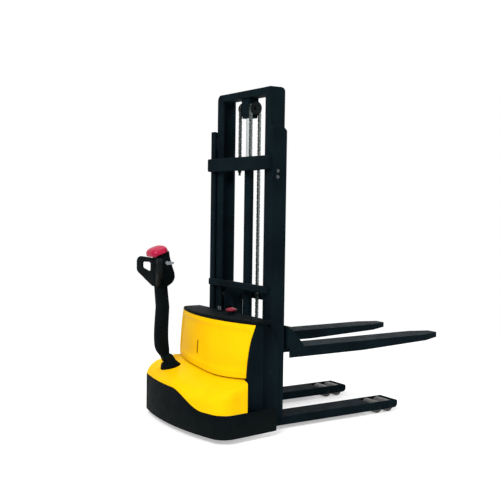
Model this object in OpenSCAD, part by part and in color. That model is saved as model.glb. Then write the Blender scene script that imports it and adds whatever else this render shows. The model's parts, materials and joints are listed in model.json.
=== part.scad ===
// Electric walkie stacker with a two-stage mast, forks over the support legs and an offset tiller.
// X points forward to the fork tips, Y to the operator's left, Z up. The origin is on the floor.

/* [Mast] */
// Width over the outer mast channels
mast_w = 693; // [640:1:760]
// Depth of an outer channel
outer_d = 97; // [90:1:110]
// Width of an outer channel's flanges
outer_flange_w = 46; // [40:1:52]
// Height of the outer mast above the floor
outer_top = 1758; // [1700:1:2100]
// Web and flange thickness of the outer channels
outer_t = 14; // [10:1:16]
// Width over the inner mast channels
inner_w = 594; // [540:1:595]
// Depth of an inner channel
inner_d = 96; // [90:1:110]
// Width of an inner channel's flanges
inner_flange_w = 60; // [50:1:66]
// Flange thickness of the inner channels
inner_t = 13; // [10:1:15]
// Web thickness of the inner channels
inner_web = 10; // [8:1:12]
// How far the inner mast sits in front of the outer mast's rear face
inner_x = 17; // [15:1:25]
// Top of the inner mast as it stands, partly raised
inner_top = 1982; // [1950:1:2400]
// Lowest point of the inner mast as it stands
inner_bottom = 285; // [282:1:330]
// Outside diameter of the lift cylinder
cylinder_dia = 56; // [50:1:58]
// Diameter of the piston rod
rod_dia = 42; // [36:1:44]
// Height of the cylinder's top end
cylinder_top = 1510; // [1400:1:1512]
// Radius of the lift chain's centre line on its pulley
chain_r = 31; // [29:1:34]
// Distance between the two lift chains
chain_gap = 116; // [112:1:150]
// Pitch of the lift chain
chain_pitch = 19.05; // [15.875, 19.05, 25.4]
// Height of the pulley axis as it stands
pulley_z = 1880; // [1870:1:1890]

/* [Forks and legs] */
// Distance from the mast's rear face to the fork tips
fork_reach = 1384; // [1200:1:1500]
// Width of one fork
fork_w = 170; // [160:1:190]
// Distance between the centres of the forks
fork_centres = 518; // [500:1:520]
// Height of the forks' upper faces as they stand
fork_top = 478; // [475:1:500]
// Height of a fork's side at the heel
fork_h = 60; // [50:1:62]
// Height of a fork's side at the tip
fork_tip_h = 34; // [28:1:40]
// Thickness of a fork's top plate
fork_top_t = 8; // [6:1:8]
// Thickness of a fork's side plates
fork_side_t = 5; // [4:1:6]
// Distance from the mast's rear face to the leg tips
leg_reach = 1003; // [900:1:1150]
// Width of one support leg
leg_w = 150; // [140:1:150]
// Height of a leg's upper face
leg_top = 75; // [70:1:76]
// Height of a leg's lower edge above the floor
leg_clear = 25; // [20:1:30]
// Diameter of the load rollers
load_roller_dia = 74; // [70:1:75]
// Distance between the two load rollers of a leg
load_roller_pitch = 90; // [80:1:110]

/* [Chassis] */
// Distance from the mast's rear face back to the skirt
skirt_back = 463; // [440:1:500]
// Radius of the bowed rear in plan
bow_r = 1600; // [1200:10:2400]
// Radius of the rear corners in plan
corner_r = 95; // [70:1:110]
// Half width of the skirt at the mast's rear face
skirt_half_w = 434; // [432:1:450]
// Angle by which the sides spread towards the rear
side_spread = 6.5; // [4:0.5:8]
// Height of the skirt's lower edge above the floor
skirt_clear = 30; // [25:1:40]
// Height of the skirt's upper edge on the right
skirt_low = 163; // [150:1:175]
// Height of the skirt's upper edge on the left
skirt_high = 250; // [230:1:255]
// Wall of the skirt
skirt_wall = 6; // [4:1:8]
// Height of the lower cover's shelf where the upper cover's foot stands on it
shelf_z = 322; // [310:1:330]
// How far the shelf falls towards the rear, per unit of length
shelf_fall = 0.25; // [0.15:0.01:0.3]
// How far the shelf rises towards the left, per unit of length
shelf_lean = 0.044; // [0:0.004:0.06]
// Height of the upper cover
cover_top = 655; // [600:1:700]
// How far the upper cover's foot stands behind the mast's rear face
cover_foot_back = 256; // [250:1:262]
// How far the upper cover's top stands behind the mast's rear face
cover_top_back = 232; // [200:1:240]
// Half width of the upper cover
cover_half_w = 428; // [425:1:430]
// Wall of the covers
cover_wall = 4; // [3:1:5]
// Height of the lower cover's rounded shoulder
shoulder = 58; // [45:1:65]
// How far the shoulder draws in up to the shelf
shoulder_in = 75; // [55:1:78]
// Thickness of the black lid on the upper cover
dash_t = 18; // [14:1:22]
// Radius of the lid's rounded upper edge
lid_edge = 9; // [4:1:12]
// Radius of the upper cover's bowed rear
cover_bow = 1100; // [950:10:1300]
// Radius of the upper cover's rear corners
cover_corner = 45; // [35:1:70]
// How far the upper cover reaches down behind the shelf
cover_lap = 50; // [45:1:54]
// How far the lower cover's front edge stands behind the mast's rear face
lower_front = 218; // [210:1:225]
// Thickness of the side frames
side_t = 12; // [8:1:12]
// Height of the deck plate's upper face
deck_z = 258; // [254:1:260]
// Thickness of the deck plate
deck_t = 8; // [6:1:8]

/* [Drive and castor] */
// Sideways offset of the drive wheel and the tiller
drive_y = 245; // [225:1:255]
// Distance from the mast's rear face back to the steering axis
drive_back = 328; // [318:1:330]
// Diameter of the drive wheel
drive_dia = 200; // [180:1:204]
// Width of the drive wheel
drive_w = 66; // [56:1:68]
// Diameter of the castor wheel
castor_dia = 150; // [125:1:150]
// Width of the castor wheel
castor_w = 45; // [35:1:50]
// Sideways offset of the castor
castor_y = 265; // [240:1:280]
// Distance from the mast's rear face back to the castor's swivel axis
castor_back = 300; // [280:1:305]
// Trail of the castor wheel behind its swivel axis
castor_trail = 40; // [30:1:45]

/* [Tiller] */
// Distance from the mast's rear face back to the tiller's hinge
hinge_back = 355; // [350:1:362]
// Height of the tiller's hinge
hinge_z = 376; // [374:1:385]
// Height of the neck where the arm meets the head
neck_z = 802; // [760:1:860]
// Width of the tiller arm
arm_w = 56; // [48:1:60]
// Thickness of the tiller arm from front to rear
arm_t = 62; // [54:1:64]
// How far the arm bows to the rear
arm_bow = 28; // [18:1:32]
// Distance from the mast's rear face back to the middle of the tiller head
head_back = 399; // [390:1:410]
// Width of the tiller head's body
head_w = 100; // [92:1:106]
// Depth of the tiller head's body
head_d = 90; // [84:1:96]
// Height of the middle of the belly button's face
belly_z = 1004; // [990:1:1040]
// Angle by which that face looks to the rear
belly_tilt = 20; // [10:1:26]
// Depth of the belly button
belly_d = 102; // [94:1:110]
// Width of the belly button
belly_w = 120; // [104:1:128]
// Height of the belly button above its face
belly_h = 46; // [36:1:54]
// Reach of a handle loop from the middle of the head
loops_reach = 165; // [150:1:175]
// Angle by which the loops sweep back
loops_sweep = 22; // [12:1:26]
// Height of the loops' grips
loops_z = 941; // [930:1:960]

/* [Hidden] */
$fn = 64;
gap = 0.3;
seam = 0.5;
thin = 0.4;
mast_half = mast_w / 2;
inner_half = inner_w / 2;
inner_edge = inner_half - inner_flange_w;
channel_x = inner_x + inner_d / 2;
roller_x = outer_d / 2;
outer_roller_r = outer_d / 2 - outer_t - gap;
inner_roller_r = inner_d / 2 - inner_t - gap;
stub_r = 14;
mast_roller_z = inner_bottom + 45;
crossbar_z = cylinder_top - 3;
crossbar_h = 80;
crossbar_d = 29;
middle_bar_z = 796;
middle_bar_h = 42;
anchor_t = 20;
chain_end_z = cylinder_top + 80;
chain_w = 18;
chain_h = 16;
pulley_w = 26;
pulley_pin_r = 12;
rear_run_x = channel_x - chain_r;
front_run_x = channel_x + chain_r;
block_bottom = 1822;
block_half = 42;
top_plate_z = 1940;
top_plate_t = 18;
rod_bottom = 310;
foot_plate_t = 15;
beam_d = 30;
beam_h = 85;

carriage_front = inner_x + inner_d + 12;
carriage_t = 15;
carriage_bottom = fork_top - fork_top_t;
carriage_top = 780;
carriage_side = inner_edge - 7;
carriage_side_t = 15;
carriage_bar_z = 560;
carriage_bar_h = 30;
carriage_bar_x = front_run_x + 1;
upper_roller_z = 735;
lower_roller_z = 540;
fork_heel = carriage_front + carriage_t;
fork_y = fork_centres / 2;
fork_tip_w = 84;
fork_taper = 150;
gusset_h = 180;
gusset_d = 68;
gusset_t = 12;
leg_y = fork_centres / 2;
leg_wall = 8;
leg_top_t = 6;
leg_open = 2 * load_roller_pitch + 40;
axle_r = 10;
front_axle_x = leg_reach - 60;
load_roller_w = leg_w - 2 * leg_wall - 14;

deck_half = 400;
deck_in_left = 42;
deck_in_right = 80;
cut_low = 196;
cut_high = 132;
cut_z = 330;
bulkhead_x = -beam_d - 10;
bulkhead_t = 10;
estop_at = [-80, -50];
key_at = [-80, 85];
recess_x = -90;
recess_z = 515;
step_y0 = -320;
step_y1 = -20;
column_r = 36;
bearing_r = 70;
bearing_h = 18;
cap_r = 46;
cap_h = 16;
opening_r = 42;
wheel_gap = 3;
leg_plate = 10;
gear_case_w = 46;
motor_r = 55;
motor_l = 36;
brake_r = 40;
brake_l = 10;
pin_r = 9;
lug_t = 12;
lug_r = 24;
head_bulge = 20;
loops_set = 22;
loop_d = 30;
loop_bar = 35;
button_r = 9;
throttle_x = -head_back + 12;
throttle_z = neck_z + 148;
belly_travel = 6;
belly_stem_d = head_d - 34;
belly_stem_w = head_w - 34;
socket_depth = 14;
button_travel = 3;
button_l = 26;
button_x = -head_back + head_d / 2 - 24;
lift_at = [18, neck_z + 110];
lower_at = [-18, neck_z + 110];
horn_at = [0, neck_z + 140];
shaft_r = 6;
back_end = head_back + loops_set + loops_reach * sin(loops_sweep) + loop_d / 2 * cos(loops_sweep);
origin_x = (back_end - fork_reach) / 2;

black = "#14191b";
yellow = "#fcc80f";
steel = "#b9bec2";
red = "#c8143c";

// Points along an arc
function arc(cx, cy, r, a0, a1, n) =
  [for (i = [0:n]) let (a = a0 + (a1 - a0) * i / n) [cx + r * cos(a), cy + r * sin(a)]];

// Points of a rectangle with rounded corners
function round_rect(x0, y0, x1, y1, r, n = 8) = concat(
  arc(x1 - r, y1 - r, r, 0, 90, n), arc(x0 + r, y1 - r, r, 90, 180, n),
  arc(x0 + r, y0 + r, r, 180, 270, n), arc(x1 - r, y0 + r, r, 270, 360, n));

// Smooth step from 0 to 1
function ease(t) = let (u = min(1, max(0, t))) u * u * (3 - 2 * u);

// Half width of the bowed plan at a place along X, drawn in by d
function plan_half(half, spread, x, d) = half - x * tan(spread) - d / cos(spread);

// Bowed plan with round rear corners: back is its rear, half its half width at X = 0
function plan(back, bow, corner, half, spread, front, d) =
  let (k = half * cos(spread), c = bow - back, span = bow - corner,
       b = spread + asin((k - corner - sin(spread) * c) / span),
       cx = c - span * cos(b), cy = span * sin(b))
  concat([[front, -plan_half(half, spread, front, d)]],
    arc(cx, -cy, corner - d, spread - 90, b - 180, 10),
    [for (i = [1:11]) let (a = 180 + b - 2 * b * i / 12) [c + (bow - d) * cos(a), (bow - d) * sin(a)]],
    arc(cx, cy, corner - d, 180 - b, 90 - spread, 10),
    [[front, plan_half(half, spread, front, d)]]);

function skirt_plan(front, d) = plan(skirt_back, bow_r, corner_r, skirt_half_w, side_spread, front, d);

// Upper edge of the skirt across the truck
function skirt_edge(y) = skirt_low + (skirt_high - skirt_low) * ease((y - step_y0) / (step_y1 - step_y0));

// Line along X where the yellow covers meet the side frames
function cut_x(z) = let (t = max(0, (z - cut_z) / (cover_top - cut_z)))
  -cut_low + (cut_low - cut_high) * t * t;

// Centre line of the tiller arm
function arm_x(z) = let (t = (z - hinge_z) / (neck_z - hinge_z))
  -hinge_back - (head_back - hinge_back) * t - arm_bow * sin(180 * pow(min(1, t / 0.72), 0.55));

// Shift of the mast's rear face so that the model's box is centred on the origin
module placed() translate([origin_x, 0, 0]) children();

// Extrudes an outline in X and Z along Y
module slab_y(y, t) translate([0, y + t, 0]) rotate([90, 0, 0]) linear_extrude(t) children();

// Extrudes an outline in Y and Z along X
module slab_x(x, t) translate([x, 0, 0]) rotate([90, 0, 90]) linear_extrude(t) children();

module block(x0, x1, y0, y1, z0, z1) translate([x0, y0, z0]) cube([x1 - x0, y1 - y0, z1 - z0]);

// Cylinder along Y
module bar_y(x, y0, y1, z, r) translate([x, y1, z]) rotate([90, 0, 0]) cylinder(r = r, h = y1 - y0);

module both_sides() {
  children();
  mirror([0, 1, 0]) children();
}

// Chassis: plates that carry the drive, the castor, the battery and the mast
module base_frame() {
  color(black) placed() {
    difference() {
      translate([0, 0, deck_z - deck_t]) linear_extrude(deck_t) intersection() {
        union() {
          polygon(skirt_plan(bulkhead_x, deck_in_right));
          intersection() {
            polygon(skirt_plan(bulkhead_x, deck_in_left));
            translate([-skirt_back, -20]) square([skirt_back, 2 * skirt_half_w]);
          }
        }
        union() {
          translate([-skirt_back, -skirt_half_w - 20])
            square([skirt_back - lower_front - 14, 2 * skirt_half_w + 40]);
          translate([-lower_front - 14, -deck_half])
            square([lower_front + 14 + recess_x - 12, 2 * deck_half]);
          translate([recess_x - 12, -mast_half]) square([bulkhead_x - recess_x + 12, 2 * mast_half]);
        }
      }
      translate([-drive_back, drive_y, 0]) cylinder(r = column_r + 8, h = deck_z + 1);
    }
    block(bulkhead_x, bulkhead_x + bulkhead_t, -mast_half, mast_half, leg_top, cover_top - dash_t);
    difference() {
      block(-castor_back - 55, -castor_back + 55, -castor_y - 55, -castor_y + 55, deck_z - deck_t - 10,
        deck_z - deck_t);
      translate([-castor_back, -castor_y, 0]) cylinder(r = 15 + 0.05, h = deck_z);
    }
  }
}

// Bumper skirt round the rear, with an edge that steps down towards the castor side
module bumper_skirt() {
  color(black) placed() difference() {
    translate([0, 0, skirt_clear]) linear_extrude(skirt_high - skirt_clear) difference() {
      polygon(skirt_plan(-6, 0));
      polygon(skirt_plan(0, skirt_wall));
    }
    slab_x(-skirt_back - 5, skirt_back + 10) polygon(concat(
      [for (i = [0:24]) let (y = step_y0 + (step_y1 - step_y0) * i / 24) [y, skirt_edge(y)]],
      [[step_y1, skirt_high + 9], [-600, skirt_high + 9], [-600, skirt_low]]));
  }
}

// Closed solid through rings of points, which run clockwise seen from above, lowest ring first
module loft(rings) {
  n = len(rings[0]);
  last = len(rings) - 1;
  polyhedron([for (ring = rings) each ring], concat(
    [[for (i = [n - 1:-1:0]) i]],
    [for (k = [0:last - 1], i = [0:n - 1]) let (a = k * n + i, b = k * n + (i + 1) % n)
      each [[a, b, b + n], [a, b + n, a + n]]],
    [[for (i = [0:n - 1]) last * n + i]]));
}

function lifted(points, z) = [for (p = points) [p[0], p[1], z]];

// Height of the shelf, which falls to the rear and rises to the left
function shelf_at(x, y) = shelf_z + shelf_fall * (x + cover_foot_back) + shelf_lean * y;

function shelved(points, z) = [for (p = points) [p[0], p[1], shelf_at(p[0], p[1]) + z]];

// Solid of the lower cover: upright wall and a rounded shoulder up to the shelf
module lower_form(front, d) {
  steps = 6;
  loft(concat([lifted(skirt_plan(front, d), skirt_low - 10)],
    [for (i = [0:steps]) let (a = 90 * i / steps)
      shelved(skirt_plan(front, d + shoulder_in * (1 - cos(a))), (shoulder - d) * sin(a) - shoulder)]));
}

// Plan of the upper cover at its foot and above
function upper_plan(z, d, front) = let (t = max(0, (z - shelf_z) / (cover_top - shelf_z)))
  plan(cover_foot_back - (cover_foot_back - cover_top_back) * pow(t, 1.6),
    cover_bow, cover_corner, cover_half_w, 0, front, d);

// Solid of the upper cover between two heights
module upper_form(front, d, z0, z1) {
  steps = 6;
  loft([for (i = [0:steps]) let (z = z0 + (z1 - z0) * i / steps) lifted(upper_plan(z, d, front), z)]);
}

// Room in front of the line where the covers end
module front_of_cut(shift) {
  slab_y(-600, 1200) polygon(concat([[200, 0], [-cut_low + shift, 0]],
    [for (i = [0:12]) let (z = cut_z + (cover_top + 10 - cut_z) * i / 12) [cut_x(z) + shift, z]],
    [[200, cover_top + 10]]));
}

module lower_cover() {
  color(yellow) placed() difference() {
    lower_form(-lower_front, 3);
    lower_form(-lower_front + 5, 3 + cover_wall);
    translate([0, 0, shelf_z - 60]) linear_extrude(120) polygon(upper_plan(shelf_z, -seam, 10));
    translate([-drive_back, drive_y, deck_z]) cylinder(r = opening_r, h = 100);
    slab_x(-skirt_back - 5, skirt_back + 10) polygon(concat([[-600, 0], [-600, skirt_low + seam]],
      [for (i = [0:24]) let (y = step_y0 + (step_y1 - step_y0) * i / 24) [y, skirt_edge(y) + seam]],
      [[600, skirt_high + seam], [600, 0]]));
  }
}

module upper_cover() {
  foot = shelf_z - cover_lap;
  top = cover_top - dash_t;
  latch_y = 70;
  latch_z = 412;
  latch_w = 22;
  latch_h = 85;
  color(yellow) placed() difference() {
    upper_form(0, 0, foot, top);
    upper_form(5, cover_wall, foot - 5, top + 5);
    front_of_cut(0);
    slab_x(-skirt_back, skirt_back - cover_top_back)
      polygon(round_rect(latch_y - latch_w / 2, latch_z, latch_y + latch_w / 2, latch_z + latch_h, 9));
  }
}

// Black lid over the upper cover, with the switches in it
module dash_panel() {
  steps = 5;
  front = bulkhead_x + bulkhead_t;
  color(black) placed() difference() {
    loft(concat([lifted(upper_plan(cover_top, 0, front), cover_top - dash_t)],
      [for (i = [0:steps]) let (a = 90 * i / steps)
        lifted(upper_plan(cover_top, lid_edge * (1 - cos(a)), front),
          cover_top - lid_edge * (1 - sin(a)))]));
    for (at = [estop_at, key_at]) translate([at[0], at[1], 0]) cylinder(r = 12, h = cover_top + 1);
  }
}

// Side plate that follows the covers' edge, with a return to the mast and a gusset plate on it
module side_frame() {
  top = cover_top - dash_t;
  foot = shelf_z - cover_lap - 2;
  bottom = 157;
  slab_y(deck_half, side_t) polygon(concat(
    [[-lower_front - 10, bottom], [-lower_front - 10, foot], [-cut_low + seam, foot]],
    [for (i = [0:12]) let (z = cut_z + (top - cut_z) * i / 12) [cut_x(z) + seam, z]],
    [[recess_x, top], [recess_x, bottom]]));
  block(recess_x - 10, recess_x, mast_half + 10, deck_half, bottom, top);
  slab_y(mast_half, 10) polygon([[recess_x - 10, bottom], [recess_x - 10, top], [bulkhead_x, top],
    [outer_d * 0.6, recess_z], [outer_d * 0.6, leg_top], [bulkhead_x, leg_top]]);
}
module side_frame_left() color(black) placed() side_frame();
module side_frame_right() color(black) placed() mirror([0, 1, 0]) side_frame();

// Support leg: a channel open below, with an open top over the load rollers and a round tip
module leg() {
  inside = leg_w / 2 - leg_wall;
  difference() {
    slab_y(leg_y - leg_w / 2, leg_w) polygon(concat([[-beam_d, leg_clear]],
      arc(leg_reach - 25, leg_clear + 25, 25, -90, 0, 6), arc(leg_reach - 15, leg_top - 15, 15, 0, 90, 6),
      [[-beam_d, leg_top]]));
    block(-beam_d - 1, leg_reach - 10, leg_y - inside, leg_y + inside, leg_clear - 1, leg_top - leg_top_t);
    block(front_axle_x - leg_open + 60, leg_reach - 10, leg_y - inside, leg_y + inside, leg_clear,
      leg_top + 1);
    for (i = [0, 1])
      bar_y(front_axle_x - i * load_roller_pitch, leg_y - leg_w, leg_y + leg_w, load_roller_dia / 2,
        axle_r + 0.05);
  }
}
module leg_left() color(black) placed() leg();
module leg_right() color(black) placed() mirror([0, 1, 0]) leg();

module load_roller_axles() {
  color(steel) placed() both_sides() for (i = [0, 1])
    bar_y(front_axle_x - i * load_roller_pitch, leg_y - leg_w / 2 + 1, leg_y + leg_w / 2 - 1,
      load_roller_dia / 2, axle_r);
}

// Roller turned about Y, with rounded rims and a bore
module load_roller(side, place) {
  r = load_roller_dia / 2;
  w = load_roller_w / 2;
  rim = 6;
  color("#8d9294") placed()
    translate([front_axle_x - place * load_roller_pitch, side * leg_y, r]) rotate([90, 0, 0])
      rotate_extrude() polygon(concat([[axle_r + 0.1, -w], [r - rim, -w]],
        arc(r - rim, -w + rim, rim, -80, 0, 4), arc(r - rim, w - rim, rim, 0, 80, 4),
        [[r - rim, w], [axle_r + 0.1, w]]));
}
module load_roller_left_front() load_roller(1, 0);
module load_roller_left_rear() load_roller(1, 1);
module load_roller_right_front() load_roller(-1, 0);
module load_roller_right_rear() load_roller(-1, 1);

// Two batteries with raised lids and terminal posts
module batteries() {
  w = 280;
  d = 150;
  h = 200;
  front = bulkhead_x - 5;
  color("#2a2d30") placed() both_sides() {
    difference() {
      block(front - d, front, 5, 5 + w, deck_z, deck_z + h);
      for (i = [0:6]) block(front - d - 1, front - d + 3, 30 + i * 36, 44 + i * 36, deck_z + 30,
        deck_z + h - 40);
    }
    block(front - d + 8, front - 8, 13, w - 3, deck_z + h, deck_z + h + 12);
    for (y = [45, w - 35]) translate([front - 40, y, deck_z + h + 12]) cylinder(r = 9, h = 16);
  }
}

// Oil tank, valve block and pump motor in one unit, bolted to the bulkhead
module hydraulic_unit() {
  z0 = deck_z + 234;
  mid = z0 + 55;
  color("#7d8286") placed() {
    block(bulkhead_x - 125, bulkhead_x, -300, -25, z0, z0 + 98);
    block(bulkhead_x - 100, bulkhead_x, -25, 15, z0 + 5, z0 + 95);
    difference() {
      bar_y(bulkhead_x - 55, 15, 165, mid, 48);
      for (a = [0:30:330]) translate([bulkhead_x - 55, 0, mid]) rotate([0, a, 0])
        block(46, 50, 30, 150, -3, 3);
    }
  }
}

// Mast channel open towards the middle of the truck
module channel(x, d, half, w, t, web, z0, z1) {
  translate([0, 0, z0]) linear_extrude(z1 - z0) polygon([[x, half], [x + d, half], [x + d, half - w],
    [x + d - t, half - w], [x + d - t, half - web], [x + t, half - web], [x + t, half - w], [x, half - w]]);
}

module outer_channel() {
  difference() {
    channel(0, outer_d, mast_half, outer_flange_w, outer_t, outer_t, leg_top, outer_top);
    slab_y(0, mast_half + 1) polygon([[outer_d - 30, outer_top + 1], [outer_d + 1, outer_top + 1],
      [outer_d + 1, outer_top - 30]]);
  }
}
module outer_channel_left() color(black) placed() outer_channel();
module outer_channel_right() color(black) placed() mirror([0, 1, 0]) outer_channel();

// Rear crossbars of the outer mast, with rounded edges
module mast_upper_crossbar() {
  color(black) placed() slab_y(-mast_half + 8, mast_w - 16)
    polygon(concat([[0, crossbar_z], [0, crossbar_z + crossbar_h]],
      arc(-crossbar_d + 10, crossbar_z + crossbar_h - 10, 10, 90, 180, 6),
      arc(-crossbar_d + 10, crossbar_z + 10, 10, 180, 270, 6)));
}
module mast_middle_crossbar() {
  color(black) placed() slab_y(-mast_half + 20, mast_w - 40)
    polygon(concat([[0, middle_bar_z], [0, middle_bar_z + middle_bar_h]],
      arc(-12, middle_bar_z + middle_bar_h - 8, 8, 90, 180, 6),
        arc(-12, middle_bar_z + 8, 8, 180, 270, 6)));
}

// Beam under the mast with the plate that the lift cylinder stands on
module mast_foot() {
  color(black) placed() {
    block(-beam_d, 0, -mast_half, mast_half, leg_top, leg_top + beam_h);
    block(0, inner_x + inner_d - 3, -leg_y + leg_w / 2 + 4, leg_y - leg_w / 2 - 4, leg_top,
      leg_top + foot_plate_t);
  }
}

// Slide pads at the top of the outer channels
module wear_pads() {
  color("#e8e4d8") placed() both_sides()
    block(outer_t + 6, outer_d - outer_t - 6, inner_half + gap, mast_half - outer_t, outer_top - 110,
      outer_top - 40);
}

module cylinder_tube() {
  r = cylinder_dia / 2;
  z0 = leg_top + foot_plate_t;
  color(black) placed() translate([channel_x, 0, z0]) difference() {
    union() {
      cylinder(r = r, h = cylinder_top - z0);
      cylinder(r = r + 8, h = 22);
    }
    translate([0, 0, 15]) cylinder(r = rod_dia / 2 + 0.5, h = cylinder_top);
  }
}

// Plate on the upper crossbar that holds the cylinder's head and the chains' anchor bolts
module chain_anchor_plate() {
  half = chain_gap / 2 + 25;
  color(black) placed() {
    difference() {
      block(0, front_run_x - chain_h / 2 - 4, -half, half, cylinder_top, cylinder_top + anchor_t);
      translate([channel_x, 0, cylinder_top - 1]) cylinder(r = rod_dia / 2 + 0.5, h = anchor_t + 2);
      for (s = [-1, 1]) translate([rear_run_x, s * chain_gap / 2, cylinder_top - 1])
        cylinder(r = 7.5, h = anchor_t + 2);
    }
    for (s = [-1, 1]) translate([rear_run_x, s * chain_gap / 2, cylinder_top + anchor_t]) {
      translate([0, 0, -anchor_t - 30])
        cylinder(r = 7, h = anchor_t + 30 + chain_end_z - cylinder_top - anchor_t);
      cylinder(r = 13, h = 12, $fn = 6);
      translate([0, 0, -anchor_t - 12]) cylinder(r = 13, h = 12, $fn = 6);
    }
  }
}

// Straight run of leaf chain: a scalloped stack of plates with pin heads
module chain_run(x, y, z0, z1) {
  n = round((z1 - z0) / chain_pitch);
  step = (z1 - z0) / n;
  function wave(i) = chain_h / 2 * (0.8 + 0.2 * abs(sin(30 * i)));
  slab_y(y - chain_w / 2 + 2, chain_w - 4) polygon(concat(
    [for (i = [0:6 * n]) [x + wave(i), z0 + step * i / 6]],
    [for (i = [6 * n:-1:0]) [x - wave(i), z0 + step * i / 6]]));
  for (i = [0:n - 1]) bar_y(x, y - chain_w / 2, y + chain_w / 2, z0 + step * (i + 0.5), 3);
}
module anchor_chain_runs() {
  color(steel) placed() for (s = [-1, 1]) chain_run(rear_run_x, s * chain_gap / 2, chain_end_z, pulley_z);
}
module carriage_chain_runs() {
  color(steel) placed() for (s = [-1, 1])
    chain_run(front_run_x, s * chain_gap / 2, carriage_bar_z + carriage_bar_h, pulley_z);
}

// The chains' half turns over their pulleys
module chain_wraps() {
  color(steel) placed() for (s = [-1, 1]) translate([channel_x, s * chain_gap / 2, pulley_z])
    rotate([90, 0, 0]) rotate_extrude(angle = 180)
      translate([chain_r - chain_h / 2, -chain_w / 2 + 2]) square([chain_h, chain_w - 4]);
}

// Inner channel with a rounded top and the stub axle of its guide roller
module inner_channel() {
  difference() {
    channel(inner_x, inner_d, inner_half, inner_flange_w, inner_t, inner_web, inner_bottom, inner_top);
    slab_y(0, inner_half + 1) difference() {
      translate([inner_x + inner_d - 28, inner_top - 28]) square(29);
      translate([inner_x + inner_d - 28, inner_top - 28]) circle(r = 28);
    }
  }
  bar_y(roller_x, inner_half, mast_half - outer_t - 1, mast_roller_z, stub_r);
}
module inner_channel_left() color(black) placed() inner_channel();
module inner_channel_right() color(black) placed() mirror([0, 1, 0]) inner_channel();

module inner_top_crossbar() {
  color(black) placed() {
    block(inner_x, inner_x + inner_d - inner_t, -inner_edge, inner_edge, top_plate_z,
      top_plate_z + top_plate_t);
    block(inner_x, inner_x + inner_t, -inner_edge, inner_edge, top_plate_z + top_plate_t, inner_top);
  }
}
module inner_lower_crossbar() {
  color(black) placed() block(inner_x - 13, inner_x, -inner_half + 2, inner_half - 2,
    inner_bottom + 20, inner_bottom + 100);
}

module piston_rod() {
  color("#dfe3e6") placed() translate([channel_x, 0, rod_bottom])
    cylinder(d = rod_dia, h = block_bottom + 15 - rod_bottom);
}

// Block on the piston rod that carries the pulley pin under the top crossbar
module pulley_block() {
  color(black) placed() difference() {
    slab_y(-block_half, 2 * block_half) polygon(concat([[channel_x - 26, block_bottom],
      [channel_x + 26, block_bottom],
      [channel_x + 34, block_bottom + 30], [channel_x + 34, top_plate_z], [channel_x - 34, top_plate_z],
      [channel_x - 34, block_bottom + 30]]));
    translate([channel_x, 0, block_bottom - 1]) cylinder(r = rod_dia / 2 + 0.05, h = 16);
    bar_y(channel_x, -block_half - 1, block_half + 1, pulley_z, pulley_pin_r + 0.05);
  }
}

module pulley_pin() {
  color(steel) placed() bar_y(channel_x, -chain_gap / 2 - 22, chain_gap / 2 + 22, pulley_z, pulley_pin_r);
}

// Grooved pulleys with lightening holes and a hub that runs up to the block
module chain_pulleys() {
  root = chain_r - chain_h / 2 - gap;
  rim = chain_r + 9;
  groove = chain_w / 2 + 0.7;
  color("#6d7377") placed() both_sides() translate([channel_x, chain_gap / 2, pulley_z]) rotate([90, 0, 0])
    rotate_extrude() polygon([[pulley_pin_r + 0.1, -pulley_w / 2], [rim - 2, -pulley_w / 2],
      [rim, -pulley_w / 2 + 2],
      [rim - 1, -groove], [root, -groove], [root, groove], [rim - 1, groove], [rim, pulley_w / 2 - 2],
      [rim - 2, pulley_w / 2], [20, pulley_w / 2], [20, chain_gap / 2 - block_half - gap],
      [pulley_pin_r + 0.1, chain_gap / 2 - block_half - gap]]);
}

// Ball-bearing guide roller turned about Y
module guide_roller(x, y0, y1, z, r) {
  e = 3;
  translate([x, (y0 + y1) / 2, z]) rotate([90, 0, 0]) let (w = (y1 - y0) / 2) rotate_extrude()
    polygon([[stub_r + 0.1, -w], [r - 10, -w], [r - 10, -w + 2], [r - 7, -w + 2], [r - 7, -w], [r - e, -w],
      [r, -w + e], [r, w - e], [r - e, w], [stub_r + 0.1, w]]);
}
module mast_guide_rollers() {
  color("#595f63") placed() both_sides()
    guide_roller(roller_x, inner_half + 3, mast_half - outer_t - 2, mast_roller_z, outer_roller_r);
}
module carriage_rollers(z) {
  color("#595f63") placed() both_sides()
    guide_roller(channel_x, carriage_side + 1, inner_half - inner_web - 3, z, inner_roller_r);
}
module carriage_rollers_upper() carriage_rollers(upper_roller_z);
module carriage_rollers_lower() carriage_rollers(lower_roller_z);

// Carriage: front plate with a window, side plates with roller axles and the chains' anchor bar
module carriage_frame() {
  plate_half = fork_y + fork_w / 2;
  color(black) placed() {
    slab_x(carriage_front, carriage_t) difference() {
      polygon(round_rect(-plate_half, carriage_bottom, plate_half, carriage_top, 20));
      polygon(round_rect(-carriage_side + 60, carriage_bottom + 70, carriage_side - 60,
        carriage_top - 50, 25));
    }
    both_sides() {
      slab_y(carriage_side - carriage_side_t, carriage_side_t) difference() {
        polygon(concat([[carriage_front, carriage_bottom + 6], [carriage_front, carriage_top]],
          arc(inner_x + 50, carriage_top - 30, 30, 90, 180, 6),
            arc(inner_x + 50, lower_roller_z - 30, 30, 180, 270, 6)));
        translate([channel_x, (upper_roller_z + lower_roller_z) / 2]) circle(r = 30);
      }
      for (z = [upper_roller_z, lower_roller_z])
        bar_y(channel_x, carriage_side, inner_half - inner_web - 2, z, stub_r);
    }
    block(carriage_bar_x, carriage_front, -carriage_side + carriage_side_t, carriage_side - carriage_side_t,
      carriage_bar_z, carriage_bar_z + carriage_bar_h);
  }
}

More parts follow.
